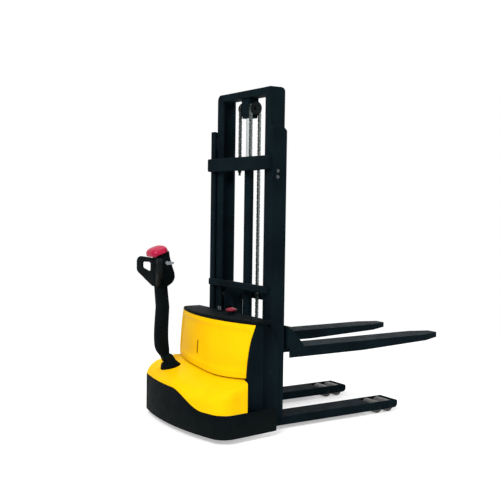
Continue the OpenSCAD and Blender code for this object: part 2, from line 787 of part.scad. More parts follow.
// Plan of a fork drawn in by d: parallel sides and a tip that tapers to rounded corners
function fork_plan(d) = let (w = fork_w / 2 - d, tip = fork_reach - d, tw = fork_tip_w / 2 - d, r = 26 - d)
  concat([[fork_heel - d, -w], [fork_reach - fork_taper, -w]], arc(tip - r, -tw + r, r, -75, 0, 5),
    arc(tip - r, tw - r, r, 0, 75, 5), [[fork_reach - fork_taper, w], [fork_heel - d, w]]);

// Fork folded from plate: open below, lower towards the tip, with gussets at the heel
module fork() {
  level = 560;
  translate([0, fork_y, 0]) {
    difference() {
      intersection() {
        translate([0, 0, fork_top - fork_h]) linear_extrude(fork_h) polygon(fork_plan(0));
        slab_y(-fork_w, 2 * fork_w) polygon([[fork_heel, fork_top - fork_h],
          [fork_heel + level, fork_top - fork_h],
          [fork_reach, fork_top - fork_tip_h], [fork_reach, fork_top - 6], [fork_reach - 12, fork_top],
          [fork_heel, fork_top]]);
      }
      translate([0, 0, fork_top - fork_h - 1]) linear_extrude(fork_h + 1 - fork_top_t)
        polygon(fork_plan(fork_side_t));
    }
    for (y = [-fork_w / 2, fork_w / 2 - gusset_t]) slab_y(y, gusset_t)
      polygon(concat([[fork_heel, fork_top], [fork_heel + gusset_d, fork_top]],
        [[fork_heel + gusset_d, fork_top + 12], [fork_heel + 14, fork_top + gusset_h],
          [fork_heel, fork_top + gusset_h]]));
  }
}
module fork_left() color(black) placed() fork();
module fork_right() color(black) placed() mirror([0, 1, 0]) fork();

module at_drive() translate([-drive_back, drive_y, 0]) children();

// Ring under the deck that the steering column turns in
module slewing_bearing() {
  color(steel) placed() at_drive() translate([0, 0, deck_z - deck_t - bearing_h]) difference() {
    cylinder(r = bearing_r, h = bearing_h);
    translate([0, 0, -1]) cylinder(r = column_r + 0.1, h = bearing_h + 2);
  }
}

// Steering column with its round cap above the shelf and the two lugs of the tiller's hinge
module steering_head() {
  column_z = deck_z - deck_t - bearing_h - gap;
  cap_z = shelf_at(-drive_back + cap_r, drive_y + cap_r) + 2;
  top = cap_z + cap_h;
  color(black) placed() translate([0, drive_y, 0]) difference() {
    union() {
      translate([-drive_back, 0, column_z]) cylinder(r = column_r, h = cap_z - column_z);
      translate([-drive_back, 0, cap_z]) rotate_extrude() polygon(concat([[0, 0], [cap_r, 0]],
        arc(cap_r - 8, cap_h - 8, 8, 0, 90, 5), [[0, cap_h]]));
      both_sides() {
        slab_y(arm_w / 2 + gap, lug_t) polygon([[-hinge_back - lug_r, hinge_z],
          [-drive_back - cap_r + 10, top - 4],
          [-drive_back + cap_r - 20, top - 4], [-hinge_back + lug_r * 0.7, hinge_z + lug_r * 0.7]]);
        bar_y(-hinge_back, arm_w / 2 + gap, arm_w / 2 + gap + lug_t, hinge_z, lug_r);
      }
    }
    bar_y(-hinge_back, -arm_w, arm_w, hinge_z, pin_r + 0.05);
  }
}

// Frame below the bearing: gear case on the left of the wheel, motor plate on its right
module drive_bracket() {
  top = deck_z - deck_t - bearing_h - gap;
  axle_z = drive_dia / 2;
  inside = drive_w / 2 + wheel_gap;
  color("#3a4045") placed() at_drive() {
    translate([0, 0, drive_dia + 2]) cylinder(r = bearing_r - 10, h = top - drive_dia - 2);
    slab_y(inside, gear_case_w) polygon(concat([[55, drive_dia + 2]],
      arc(0, axle_z - 8, 62, 20, -200, 20), [[-55, drive_dia + 2]]));
    slab_y(-inside - leg_plate, leg_plate) polygon(concat([[45, drive_dia + 2]],
      arc(0, axle_z, 50, 20, -200, 20), [[-45, drive_dia + 2]]));
    bar_y(0, -inside, inside, axle_z, 20);
  }
}

// Traction motor beside the wheel, with cooling fins and its brake
module drive_motor() {
  side = -drive_w / 2 - wheel_gap - leg_plate;
  axle_z = drive_dia / 2;
  color("#565c60") placed() at_drive() {
    difference() {
      bar_y(0, side - motor_l, side, axle_z, motor_r);
      for (a = [0:15:345]) translate([0, 0, axle_z]) rotate([0, a, 0])
        block(motor_r - 4, motor_r + 1, side - motor_l + 6, side - 6, -2, 2);
    }
    bar_y(0, side - motor_l - brake_l, side - motor_l, axle_z, brake_r);
  }
}

// Drive wheel: a tyre with rounded shoulders on a dished hub
module drive_wheel() {
  r = drive_dia / 2;
  w = drive_w / 2;
  color("#c9b27a") placed() at_drive() translate([0, 0, r]) rotate([90, 0, 0]) rotate_extrude()
    polygon(concat([[20.1, -w + 14], [r - 34, -w + 10], [r - 30, -w]], arc(r - 8, -w + 8, 8, -90, 0, 4),
      arc(r - 8, w - 8, 8, 0, 90, 4), [[r - 30, w], [r - 34, w - 10], [20.1, w - 14]]));
}

module at_castor() translate([-castor_back, -castor_y, 0]) children();

// Swivelling castor fork with its kingpin and axle
module castor_fork() {
  r = castor_dia / 2;
  top = deck_z - deck_t - 10 - gap;
  crown = castor_dia + 8;
  inside = castor_w / 2 + 2;
  color("#9aa0a4") placed() at_castor() {
    translate([0, 0, top - 14]) cylinder(r = 45, h = 14);
    translate([0, 0, top]) cylinder(r = 15, h = 10);
    block(-castor_trail - 26, 30, -inside - 6, inside + 6, crown, top - 14);
    both_sides() slab_y(inside, 6) polygon(concat([[30, crown]], [[-castor_trail + 20, r - 10]],
      arc(-castor_trail, r, 22, -30, -180, 8), [[-castor_trail - 26, crown]]));
    bar_y(-castor_trail, -inside - 9, inside + 9, r, 9);
  }
}
module castor_wheel() {
  r = castor_dia / 2;
  w = castor_w / 2;
  color("#3c3f42") placed() at_castor() translate([-castor_trail, 0, r]) rotate([90, 0, 0]) rotate_extrude()
    polygon(concat([[9.1, -w - 1], [20, -w - 1], [24, -w + 8], [r - 22, -w + 8], [r - 18, -w]],
      arc(r - 8, -w + 8, 8, -90, 0, 4),
      arc(r - 8, w - 8, 8, 0, 90, 4), [[r - 18, w], [r - 22, w - 8], [24, w - 8], [20, w + 1],
        [9.1, w + 1]]));
}

module tiller_pin() {
  reach = arm_w / 2 + gap + lug_t + 3;
  color(steel) placed() translate([0, drive_y, 0]) bar_y(-hinge_back, -reach, reach, hinge_z, pin_r);
}

// Curved tiller arm, narrower towards the head, with a recess along each side
module tiller_arm() {
  n = 16;
  function half(z) = arm_t / 2 - 5 * (z - hinge_z) / (neck_z - hinge_z);
  function level(i) = hinge_z + (neck_z - hinge_z) * i / n;
  function side(lo, hi, draw, s) =
    [for (i = [lo:hi]) [arm_x(level(i)) + s * (half(level(i)) - draw), level(i)]];
  function back_side(lo, hi, draw) = let (p = side(lo, hi, draw, -1)) [for (i = [len(p) - 1:-1:0]) p[i]];
  color(black) placed() translate([0, drive_y, 0]) difference() {
    union() {
      slab_y(-arm_w / 2, arm_w) polygon(concat(side(0, n, 0, 1), back_side(0, n, 0)));
      bar_y(-hinge_back, -arm_w / 2, arm_w / 2, hinge_z, lug_r);
    }
    both_sides() slab_y(arm_w / 2 - 4, 10) polygon(concat(side(3, n - 2, 14, 1), back_side(3, n - 2, 14)));
    bar_y(-hinge_back, -arm_w, arm_w, hinge_z, pin_r + 0.1);
  }
}

// Outline with round corners, d deep and w wide, a thin slice high
module ring(d, w, r) linear_extrude(thin) polygon(round_rect(-d / 2, -w / 2, d / 2, w / 2, r));

// Frame of the slanted face that carries the belly button
module on_face() translate([-head_back, drive_y, belly_z]) rotate([0, -belly_tilt, 0]) children();

// Moulded body of the tiller head, with a bulge in front above the neck
module head_form() {
  module level(x, z) translate([-head_back + x, drive_y, neck_z + z]) children();
  hull() {
    level(0, 0) ring(head_d - 26, arm_w + 8, 18);
    level(0, 70) ring(head_d, head_w, 24);
    on_face() translate([0, 0, -12]) ring(head_d + 6, head_w + 4, 28);
    on_face() ring(head_d - 4, head_w - 6, 24);
  }
  hull() {
    level(0, 12) ring(head_d - 30, arm_w, 18);
    level(head_bulge / 2, 45) ring(head_d + head_bulge - 4, head_w - 18, 20);
    level(head_bulge / 2, 62) ring(head_d + head_bulge - 4, head_w - 18, 20);
    level(0, 92) ring(head_d - 6, head_w - 18, 20);
  }
}

module button_hole(y, z, r) translate([button_x, drive_y + y, z]) rotate([0, 90, 0])
  cylinder(r = r, h = 60);

module tiller_head() {
  color(black) placed() difference() {
    head_form();
    for (at = [lift_at, lower_at, horn_at]) button_hole(at[0], at[1], button_r + gap);
    bar_y(throttle_x, drive_y - head_w, drive_y + head_w, throttle_z, shaft_r + gap);
    on_face() translate([0, 0, -socket_depth]) linear_extrude(30)
      polygon(round_rect(-belly_stem_d / 2 - 1, -belly_stem_w / 2 - 1, belly_stem_d / 2 + 1,
        belly_stem_w / 2 + 1, 16));
  }
}

// Two handle loops that sweep back from both sides of the head
module handle_loops() {
  module disc(u, z, r) translate([u, z]) circle(r = r);
  inside = loops_reach - loop_bar;
  color(black) placed() difference() {
    translate([-head_back - loops_set, drive_y, 0]) both_sides() rotate([0, 0, loops_sweep])
      slab_x(-loop_d / 2, loop_d) difference() {
        hull() {
          disc(loops_reach - 25, loops_z + 27, 25);
          disc(loops_reach - 22, loops_z - 16, 22);
          disc(40, loops_z - 103, 18);
          disc(40, loops_z + 18, 22);
        }
        hull() {
          disc(inside - 12, loops_z + 11, 12);
          disc(inside - 12, loops_z - 11, 12);
          disc(84, loops_z + 11, 12);
          disc(84, loops_z - 38, 12);
        }
      }
    head_form();
  }
}

// Butterfly throttle: one shaft through the head with a thumb paddle at each end
module throttle() {
  color("#e6e8ea") placed() translate([throttle_x, drive_y, throttle_z]) {
    bar_y(0, -head_w / 2 - 18, head_w / 2 + 18, 0, shaft_r);
    both_sides() slab_y(head_w / 2 + 3, 15) polygon(concat(arc(0, 0, 11, 90, 270, 8),
      arc(34, 0, 7, -70, 70, 6)));
  }
}

// Large domed button at the end of the tiller
module belly_button() {
  rise = belly_travel + 1;
  color(red) placed() on_face() {
    translate([0, 0, rise - socket_depth]) linear_extrude(socket_depth + 1)
      polygon(round_rect(-belly_stem_d / 2, -belly_stem_w / 2, belly_stem_d / 2, belly_stem_w / 2, 15));
    hull() {
      translate([0, 0, rise]) ring(belly_d - 5, belly_w - 5, 38);
      for (i = [0:4]) let (a = 20 * i, k = 0.3 + 0.7 * cos(a))
        translate([0, 0, rise + 8 + (belly_h - rise - 8) * sin(a)]) ring(belly_d * k, belly_w * k, 40 * k);
    }
  }
}

module head_button(at, tint) {
  color(tint) placed() translate([button_x + button_travel + 1, drive_y + at[0], at[1]]) rotate([0, 90, 0])
    rotate_extrude() polygon(concat([[0, 0], [button_r, 0]],
      arc(button_r - 2, button_l - 2, 2, 0, 90, 3), [[0, button_l]]));
}
module lift_button() head_button(lift_at, "#e6e8ea");
module lower_button() head_button(lower_at, "#e6e8ea");
module horn_button() head_button(horn_at, "#d9b21a");

// Switch bodies let into the dash: the emergency stop's collar and the key lock
module dash_switches() {
  depth = 43;
  color("#2b2f31") placed() {
    translate([estop_at[0], estop_at[1], cover_top]) difference() {
      union() {
        translate([0, 0, -depth]) cylinder(r = 11.7, h = depth);
        cylinder(r = 22, h = 10);
      }
      translate([0, 0, -26]) cylinder(r = 8 + gap, h = 40);
    }
    translate([key_at[0], key_at[1], cover_top]) difference() {
      union() {
        translate([0, 0, -depth]) cylinder(r = 11.7, h = depth);
        cylinder(r = 15, h = 6);
      }
      translate([0, 0, -16]) cylinder(r = 6 + gap, h = 30);
    }
  }
}

// Mushroom button of the emergency stop
module estop_button() {
  color(red) placed() translate([estop_at[0], estop_at[1], cover_top]) rotate_extrude()
    polygon(concat([[0, -20], [8, -20], [8, 17], [30, 17]], arc(28, 24, 6, -60, 50, 6),
      [[18, 35], [8, 38], [0, 39]]));
}

module key() {
  color(steel) placed() translate([key_at[0], key_at[1], cover_top]) {
    translate([0, 0, -15]) cylinder(r = 6, h = 22);
    slab_y(-1.5, 3) difference() {
      polygon(round_rect(-11, 6, 11, 32, 7));
      translate([0, 24]) circle(r = 3);
    }
  }
}

base_frame();
bumper_skirt();
lower_cover();
upper_cover();
dash_panel();
side_frame_left();
side_frame_right();
leg_left();
leg_right();
load_roller_axles();
batteries();
hydraulic_unit();
outer_channel_left();
outer_channel_right();
mast_upper_crossbar();
mast_middle_crossbar();
mast_foot();
wear_pads();
cylinder_tube();
chain_anchor_plate();
anchor_chain_runs();
chain_wraps();
slewing_bearing();
dash_switches();
estop_button();
key();
inner_channel_left();
inner_channel_right();
inner_top_crossbar();
inner_lower_crossbar();
piston_rod();
pulley_block();
pulley_pin();
chain_pulleys();
mast_guide_rollers();
carriage_chain_runs();
carriage_frame();
fork_left();
fork_right();
carriage_rollers_upper();
carriage_rollers_lower();
steering_head();
drive_bracket();
drive_motor();
drive_wheel();
tiller_pin();
tiller_arm();
tiller_head();
handle_loops();
throttle();
belly_button();
lift_button();
lower_button();
horn_button();
castor_fork();
castor_wheel();
load_roller_left_front();
load_roller_left_rear();
load_roller_right_front();
load_roller_right_rear();
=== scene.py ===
import json
import math

import bmesh
import bpy
import numpy as np
from mathutils import Matrix, Vector


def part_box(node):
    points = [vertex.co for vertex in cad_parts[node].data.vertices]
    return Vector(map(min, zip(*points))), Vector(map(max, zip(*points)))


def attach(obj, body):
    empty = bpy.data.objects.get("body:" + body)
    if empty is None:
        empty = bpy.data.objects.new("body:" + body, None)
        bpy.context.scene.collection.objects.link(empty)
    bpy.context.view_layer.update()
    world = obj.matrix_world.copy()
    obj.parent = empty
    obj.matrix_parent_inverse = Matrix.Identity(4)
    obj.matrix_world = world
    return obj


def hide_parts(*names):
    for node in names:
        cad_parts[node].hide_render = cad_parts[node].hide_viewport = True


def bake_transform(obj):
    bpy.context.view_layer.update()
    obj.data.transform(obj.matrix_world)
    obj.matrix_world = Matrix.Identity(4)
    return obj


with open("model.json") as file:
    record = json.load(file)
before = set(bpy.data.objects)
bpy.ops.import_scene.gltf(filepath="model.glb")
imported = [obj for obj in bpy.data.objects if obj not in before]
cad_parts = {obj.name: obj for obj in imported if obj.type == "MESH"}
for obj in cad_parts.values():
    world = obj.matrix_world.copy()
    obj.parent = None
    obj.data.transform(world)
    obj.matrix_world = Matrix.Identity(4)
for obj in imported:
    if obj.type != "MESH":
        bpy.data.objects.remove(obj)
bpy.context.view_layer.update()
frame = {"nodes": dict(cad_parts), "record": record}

nodes = frame["nodes"]
bodyOf = {node: body for body, members in frame["record"]["behaviour"]["bodies"].items() for node in members}
slotOf = {row["node"]: row["material_slot"] for row in frame["record"]["subparts"]}
collection = bpy.context.scene.collection
mm = 0.001

# places read from the frame, in metres: the mast's rear face and the middle of the tiller
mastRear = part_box("outer_channel_left")[0].x
tillerY = sum(corner.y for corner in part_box("tiller_pin")) / 2
print("frame loaded:", len(nodes), "nodes")


def linear(hexColour):
    # sRGB hex to linear RGBA
    channels = np.array([int(hexColour[i:i + 2], 16) for i in (1, 3, 5)]) / 255
    low = channels / 12.92
    high = ((channels + 0.055) / 1.055) ** 2.4
    return (*np.where(channels <= 0.04045, low, high), 1.0)


def addNode(tree, kind, settings=None, links=None):
    # one shader node: settings are its properties or socket values, links feed its sockets
    node = tree.nodes.new(kind)
    for key, value in (settings or {}).items():
        if isinstance(key, str) and hasattr(node, key):
            setattr(node, key, value)
        else:
            node.inputs[key].default_value = value
    for key, source in (links or {}).items():
        tree.links.new(source, node.inputs[key])
    return node


def newMaterial(name, settings):
    # a principled material and its object coordinates
    material = bpy.data.materials.new(name)
    material.use_nodes = True
    tree = material.node_tree
    shader = tree.nodes["Principled BSDF"]
    for key, value in settings.items():
        shader.inputs[key].default_value = value
    place = addNode(tree, "ShaderNodeTexCoord").outputs["Object"]
    return material, tree, shader, place


def feed(tree, shader, outputs):
    # outputs joined to the shader's sockets of these names
    for socket, output in outputs.items():
        tree.links.new(output, shader.inputs[socket])


def perMetre(size):
    # texture scale for a pattern whose features are size millimetres across
    return 1 / (size * mm)


def mottle(tree, place, size, detail=3.0, stretch=(1, 1, 1)):
    # noise of a real feature size, drawn out along an axis where stretch is below 1
    mapped = addNode(tree, "ShaderNodeMapping", {"Scale": stretch}, {"Vector": place})
    return addNode(tree, "ShaderNodeTexNoise", {"Scale": perMetre(size), "Detail": detail},
                   {"Vector": mapped.outputs["Vector"]}).outputs["Fac"]


def blendColour(tree, factor, first, second, low=0.35, high=0.65):
    # colour ramp between two hex colours over part of a factor
    ramp = addNode(tree, "ShaderNodeMapRange", {"From Min": low, "From Max": high}, {"Value": factor})
    mix = addNode(tree, "ShaderNodeMix", {"data_type": "RGBA", 6: linear(first), 7: linear(second)},
                  {0: ramp.outputs["Result"]})
    return mix.outputs[2]


def overlay(tree, factor, under, colour):
    # a hex colour laid over another colour by a factor
    mix = addNode(tree, "ShaderNodeMix", {"data_type": "RGBA", 7: linear(colour)}, {0: factor, 6: under})
    return mix.outputs[2]


def span(tree, factor, low, high):
    # a factor of 0.3 to 0.7 spread over a range of values
    limits = {"From Min": 0.3, "From Max": 0.7, "To Min": low, "To Max": high}
    return addNode(tree, "ShaderNodeMapRange", limits, {"Value": factor}).outputs["Result"]


def bumpFrom(tree, height, strength, distance):
    # surface relief, distance in millimetres
    return addNode(tree, "ShaderNodeBump", {"Strength": strength, "Distance": distance * mm},
                   {"Height": height}).outputs["Normal"]


def lowDust(tree, place, noise, top):
    # 1 near the floor, fading out at a height of top metres, broken up by noise
    height = addNode(tree, "ShaderNodeSeparateXYZ", links={"Vector": place}).outputs["Z"]
    limits = {"From Min": 0.0, "From Max": top, "To Min": 1.0, "To Max": 0.0}
    fade = addNode(tree, "ShaderNodeMapRange", limits, {"Value": height}).outputs["Result"]
    return addNode(tree, "ShaderNodeMath", {"operation": "MULTIPLY"}, {0: fade, 1: noise}).outputs["Value"]


# Moulded yellow cover: deep clean colour with a little orange peel, warmer in its clouds. In this finish and
# those after it, the sizes of patterns are in millimetres
def mouldedYellow():
    finish = {"main": "#ffcb09", "deep": "#fdc206", "cloud": 180, "sheen": 60, "peel": 3.5}
    material, tree, shader, place = newMaterial("mouldedYellow", {"IOR": 1.5, "Specular IOR Level": 0.012})
    feed(tree, shader, {
        "Base Color": blendColour(tree, mottle(tree, place, finish["cloud"]), finish["main"], finish["deep"]),
        "Roughness": span(tree, mottle(tree, place, finish["sheen"], 5), 0.3, 0.4),
        "Normal": bumpFrom(tree, mottle(tree, place, finish["peel"]), 0.1, 0.3)})
    return material


# Powder-coated steel plate: near black with a blue-green cast, fine orange peel and faint rubbing
def powderBlack():
    finish = {"main": "#0a1317", "worn": "#0f1b20", "scuff": "#182428", "cloud": 220, "sheen": 45,
              "peel": 2.2, "rub": 16}
    material, tree, shader, place = newMaterial("powderBlack", {"IOR": 1.5, "Specular IOR Level": 0.012})
    colour = blendColour(tree, mottle(tree, place, finish["cloud"], 5), finish["main"], finish["worn"])
    rub = mottle(tree, place, finish["rub"], 8, (1, 1, 0.25))
    scuff = addNode(tree, "ShaderNodeMapRange", {"From Min": 0.66, "From Max": 0.74}, {"Value": rub})
    feed(tree, shader, {
        "Base Color": overlay(tree, scuff.outputs["Result"], colour, finish["scuff"]),
        "Roughness": span(tree, mottle(tree, place, finish["sheen"], 6), 0.56, 0.72),
        "Normal": bumpFrom(tree, mottle(tree, place, finish["peel"]), 0.18, 0.25)})
    return material


# Moulded black plastic with a fine spark-eroded grain, drawn coarser than life so that it shows, and with
# dust near the floor, up to dustTop in metres
def grainedPlastic():
    finish = {"main": "#060b0d", "dull": "#0b1113", "dust": "#161b1b", "dustTop": 0.16, "speck": 25,
              "cloud": 90, "sheen": 30, "grain": 1.6}
    material, tree, shader, place = newMaterial("grainedPlastic", {"IOR": 1.46, "Specular IOR Level": 0.018})
    colour = blendColour(tree, mottle(tree, place, finish["cloud"], 5), finish["main"], finish["dull"])
    dust = lowDust(tree, place, mottle(tree, place, finish["speck"], 7), finish["dustTop"])
    grain = addNode(tree, "ShaderNodeTexVoronoi", {"Scale": perMetre(finish["grain"])}, {"Vector": place})
    feed(tree, shader, {
        "Base Color": overlay(tree, dust, colour, finish["dust"]),
        "Roughness": span(tree, mottle(tree, place, finish["sheen"], 6), 0.52, 0.66),
        "Normal": bumpFrom(tree, grain.outputs["Distance"], 0.25, 0.15)})
    return material


# Soft black grip rubber, stippled and matt
def gripRubber():
    finish = {"main": "#080c0d", "rubbed": "#0e1314", "cloud": 50, "stipple": 2.4}
    material, tree, shader, place = newMaterial("gripRubber", {
        "Roughness": 0.66, "IOR": 1.5, "Specular IOR Level": 0.06})
    stipple = addNode(tree, "ShaderNodeTexVoronoi", {"Scale": perMetre(finish["stipple"])}, {"Vector": place})
    feed(tree, shader, {
        "Base Color": blendColour(tree, mottle(tree, place, finish["cloud"], 5), finish["main"],
                                  finish["rubbed"]),
        "Normal": bumpFrom(tree, stipple.outputs["Distance"], 0.4, 0.3)})
    return material


# Hard chrome on the ground piston rod: bright, with faint drawn marks and a film of oil
def hardChrome():
    finish = {"bright": "#dfe3e5", "film": "#b9c0c2", "streak": 4}
    material, tree, shader, place = newMaterial("hardChrome", {"Metallic": 1.0, "Roughness": 0.12})
    streak = mottle(tree, place, finish["streak"], 4, (1, 1, 0.02))
    feed(tree, shader, {
        "Base Color": blendColour(tree, streak, finish["bright"], finish["film"]),
        "Roughness": span(tree, streak, 0.08, 0.2)})
    return material


# Rolled and ground steel, in a light or a dark tone, with an oily bloom
def oiledSteel(name, light, dark, rough):
    finish = {"bloom": 9, "sheen": 5, "marks": 1.5}
    material, tree, shader, place = newMaterial(name, {"Metallic": 1.0, "Roughness": rough})
    feed(tree, shader, {
        "Base Color": blendColour(tree, mottle(tree, place, finish["bloom"], 6), light, dark),
        "Roughness": span(tree, mottle(tree, place, finish["sheen"], 6), rough - 0.08, rough + 0.12),
        "Normal": bumpFrom(tree, mottle(tree, place, finish["marks"], 4), 0.15, 0.1)})
    return material


# Painted grey casting with a sandy skin
def sandCasting():
    finish = {"main": "#4c5256", "hollow": "#34393c", "cloud": 35, "sand": 2.5}
    material, tree, shader, place = newMaterial("sandCasting", {"Roughness": 0.55, "IOR": 1.5})
    feed(tree, shader, {
        "Base Color": blendColour(tree, mottle(tree, place, finish["cloud"], 6), finish["main"],
                                  finish["hollow"]),
        "Normal": bumpFrom(tree, mottle(tree, place, finish["sand"], 5), 0.5, 0.5)})
    return material


# Cast treads and other dull mouldings, with faint marks and dirt
def castTread(name, main, dirt, rough):
    finish = {"dirt": 18, "sheen": 8, "marks": 3}
    material, tree, shader, place = newMaterial(name, {"Roughness": rough, "IOR": 1.5})
    feed(tree, shader, {
        "Base Color": blendColour(tree, mottle(tree, place, finish["dirt"], 8), main, dirt),
        "Roughness": span(tree, mottle(tree, place, finish["sheen"], 6), rough - 0.1, rough + 0.1),
        "Normal": bumpFrom(tree, mottle(tree, place, finish["marks"], 6, (1, 0.3, 1)), 0.3, 0.2)})
    return material


# Small gloss mouldings for buttons, with slight wear
def glossMoulding(name, main, worn, rough):
    finish = {"wear": 14, "sheen": 6, "peel": 1.2}
    material, tree, shader, place = newMaterial(name, {
        "Roughness": rough, "IOR": 1.49, "Specular IOR Level": 0.22})
    feed(tree, shader, {
        "Base Color": blendColour(tree, mottle(tree, place, finish["wear"], 6), main, worn),
        "Roughness": span(tree, mottle(tree, place, finish["sheen"], 5), rough - 0.06, rough + 0.1),
        "Normal": bumpFrom(tree, mottle(tree, place, finish["peel"], 2), 0.05, 0.1)})
    return material


# finishes by the record's slots, and after those a few for single pieces
looks = {
    "yellow_cover": mouldedYellow(),
    "black_paint": powderBlack(),
    "black_plastic": grainedPlastic(),
    "bright_steel": oiledSteel("brightSteel", "#b4b8ba", "#878c8f", 0.34),
    "dark_steel": oiledSteel("darkSteel", "#54585a", "#363a3c", 0.42),
    "chrome_rod": hardChrome(),
    "cast_housing": sandCasting(),
    "battery_case": castTread("mouldedBatteryCase", "#24282b", "#34383a", 0.5),
    "wear_pad": castTread("sawnNylon", "#16191b", "#22272a", 0.5),
    "wheel_tread": castTread("castTreadDark", "#2b2d2e", "#4a4844", 0.6),
    "roller_tread": castTread("castTreadGrey", "#55534f", "#333332", 0.5),
    "red_button": glossMoulding("redMoulding", "#b41140", "#a30d36", 0.34),
    "button_grey": glossMoulding("greyMoulding", "#8b9196", "#747b80", 0.4),
    "button_yellow": glossMoulding("yellowMoulding", "#dcae18", "#c6980f", 0.35),
    "grip": gripRubber(),
    "chain": oiledSteel("greasedChain", "#6e7472", "#3e4443", 0.4),
    "stop": glossMoulding("maroonMoulding", "#8e2236", "#7c1a2e", 0.4),
    "blackened": oiledSteel("blackenedSteel", "#1d2122", "#121516", 0.5),
}
ownLooks = {
    "stop": ("estop_button",),
    "chain": ("anchor_chain_runs", "chain_wraps", "carriage_chain_runs"),
    "blackened": ("load_roller_axles", "tiller_pin", "pulley_pin", "chain_pulleys", "mast_guide_rollers",
                  "carriage_rollers_upper", "carriage_rollers_lower"),
}
lookOf = slotOf | {name: look for look, names in ownLooks.items() for name in names}
for name, look in lookOf.items():
    mesh = nodes[name].data
    mesh.materials.clear()
    mesh.materials.append(looks[look])
print("finishes made:", len(looks))


def putPiece(name, verts, faces, slot, body, replaced=(), look=None, sharp=35):
    # a mesh object at the origin that rides on a body and stands for CAD nodes
    mesh = bpy.data.meshes.new(name)
    mesh.from_pydata(np.asarray(verts, float).reshape(-1, 3).tolist(), [], [list(map(int, f)) for f in faces])
    mesh.validate()
    work = bmesh.new()
    work.from_mesh(mesh)
    bmesh.ops.remove_doubles(work, verts=work.verts, dist=0.02 * mm)
    bmesh.ops.recalc_face_normals(work, faces=work.faces)
    work.to_mesh(mesh)
    work.free()
    mesh.shade_smooth()
    mesh.set_sharp_from_angle(angle=math.radians(sharp))
    mesh.materials.append(look or looks[slot])
    piece = bpy.data.objects.new(name, mesh)
    collection.objects.link(piece)
    if body:
        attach(piece, body)
    if replaced:
        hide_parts(*replaced)
    return piece


def gridFaces(rows, columns, closed=False):
    # quads of a grid of points, row by row; closed joins the last column to the first
    across = columns if closed else columns - 1
    r, c = np.meshgrid(np.arange(rows - 1), np.arange(across), indexing="ij")
    a = r * columns + c
    b = r * columns + (c + 1) % columns
    return np.stack([a, b, b + columns, a + columns], -1).reshape(-1, 4)


def tubeFaces(rows, columns):
    # a closed grid with one face over its first ring and one over its last
    last = (rows - 1) * columns
    return [*gridFaces(rows, columns, True), list(range(columns))[::-1], list(range(last, last + columns))]


def superRing(count, halfX, halfY, power):
    # ring |x/a|^n + |y/b|^n = 1, evenly turned
    turn = np.linspace(0, 2 * np.pi, count, endpoint=False)
    cosine, sine = np.cos(turn), np.sin(turn)
    return np.stack([halfX * np.sign(cosine) * np.abs(cosine) ** (2 / power),
                     halfY * np.sign(sine) * np.abs(sine) ** (2 / power)], -1)


def roundEdges(piece, width, angle):
    # a bevel of width millimetres on edges sharper than angle degrees
    bevel = piece.modifiers.new("edges", "BEVEL")
    bevel.width = width * mm
    bevel.segments = 2
    bevel.limit_method = "ANGLE"
    bevel.angle_limit = math.radians(angle)
    bevel.harden_normals = True


def softEdged(name, width, reshape=None, angle=32):
    # a copy of a CAD node, merged, with flat faces joined and its edges rounded by width millimetres;
    # reshape moves its corner points first
    mesh = nodes[name].data.copy()
    work = bmesh.new()
    work.from_mesh(mesh)
    bmesh.ops.remove_doubles(work, verts=work.verts, dist=0.01 * mm)
    bmesh.ops.dissolve_limit(work, angle_limit=math.radians(0.4), verts=work.verts, edges=work.edges)
    work.to_mesh(mesh)
    work.free()
    if reshape:
        points = np.empty(3 * len(mesh.vertices), np.float32)
        mesh.vertices.foreach_get("co", points)
        moved = reshape(points.reshape(-1, 3).astype(float))
        mesh.vertices.foreach_set("co", moved.ravel().astype(np.float32))
        mesh.update()
    mesh.shade_smooth()
    mesh.set_sharp_from_angle(angle=math.radians(angle))
    piece = bpy.data.objects.new(name + "Soft", mesh)
    collection.objects.link(piece)
    roundEdges(piece, width, angle)
    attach(piece, bodyOf[name])
    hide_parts(name)
    return piece


# Fork gussets drawn out to a lower and longer triangle
gussetSet = {"high": 0.108, "deep": 0.102, "cadHigh": 0.18, "toe": (0.02, 0.075), "crown": 0.03}
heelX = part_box("carriage_frame")[1].x
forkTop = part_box("fork_right")[1].z - gussetSet["cadHigh"]


def longGusset(points):
    # x goes out to deep at the toe, and heights above the crown shrink by high / cadHigh
    ahead, above = points[:, 0] - heelX, points[:, 2] - forkTop
    toe = (above > -0.2 * mm) & (ahead > gussetSet["toe"][0]) & (ahead < gussetSet["toe"][1])
    shrink = np.where(above > gussetSet["crown"], gussetSet["high"] / gussetSet["cadHigh"], 1)
    x = np.where(toe, heelX + gussetSet["deep"], points[:, 0])
    return np.column_stack([x, points[:, 1], forkTop + above * shrink])


# Left side frame: its rear edge is held forward where it passes the covers
frameSet = {"rear": -0.158, "above": 0.3}


def heldForward(points):
    # x is at least rear where z is over above
    x, z = points[:, 0], points[:, 2]
    held = np.maximum(x, mastRear + frameSet["rear"])
    return np.column_stack([np.where(z > frameSet["above"], held, x), points[:, 1:]])


reshapes = {"fork_left": longGusset, "fork_right": longGusset, "side_frame_left": heldForward}

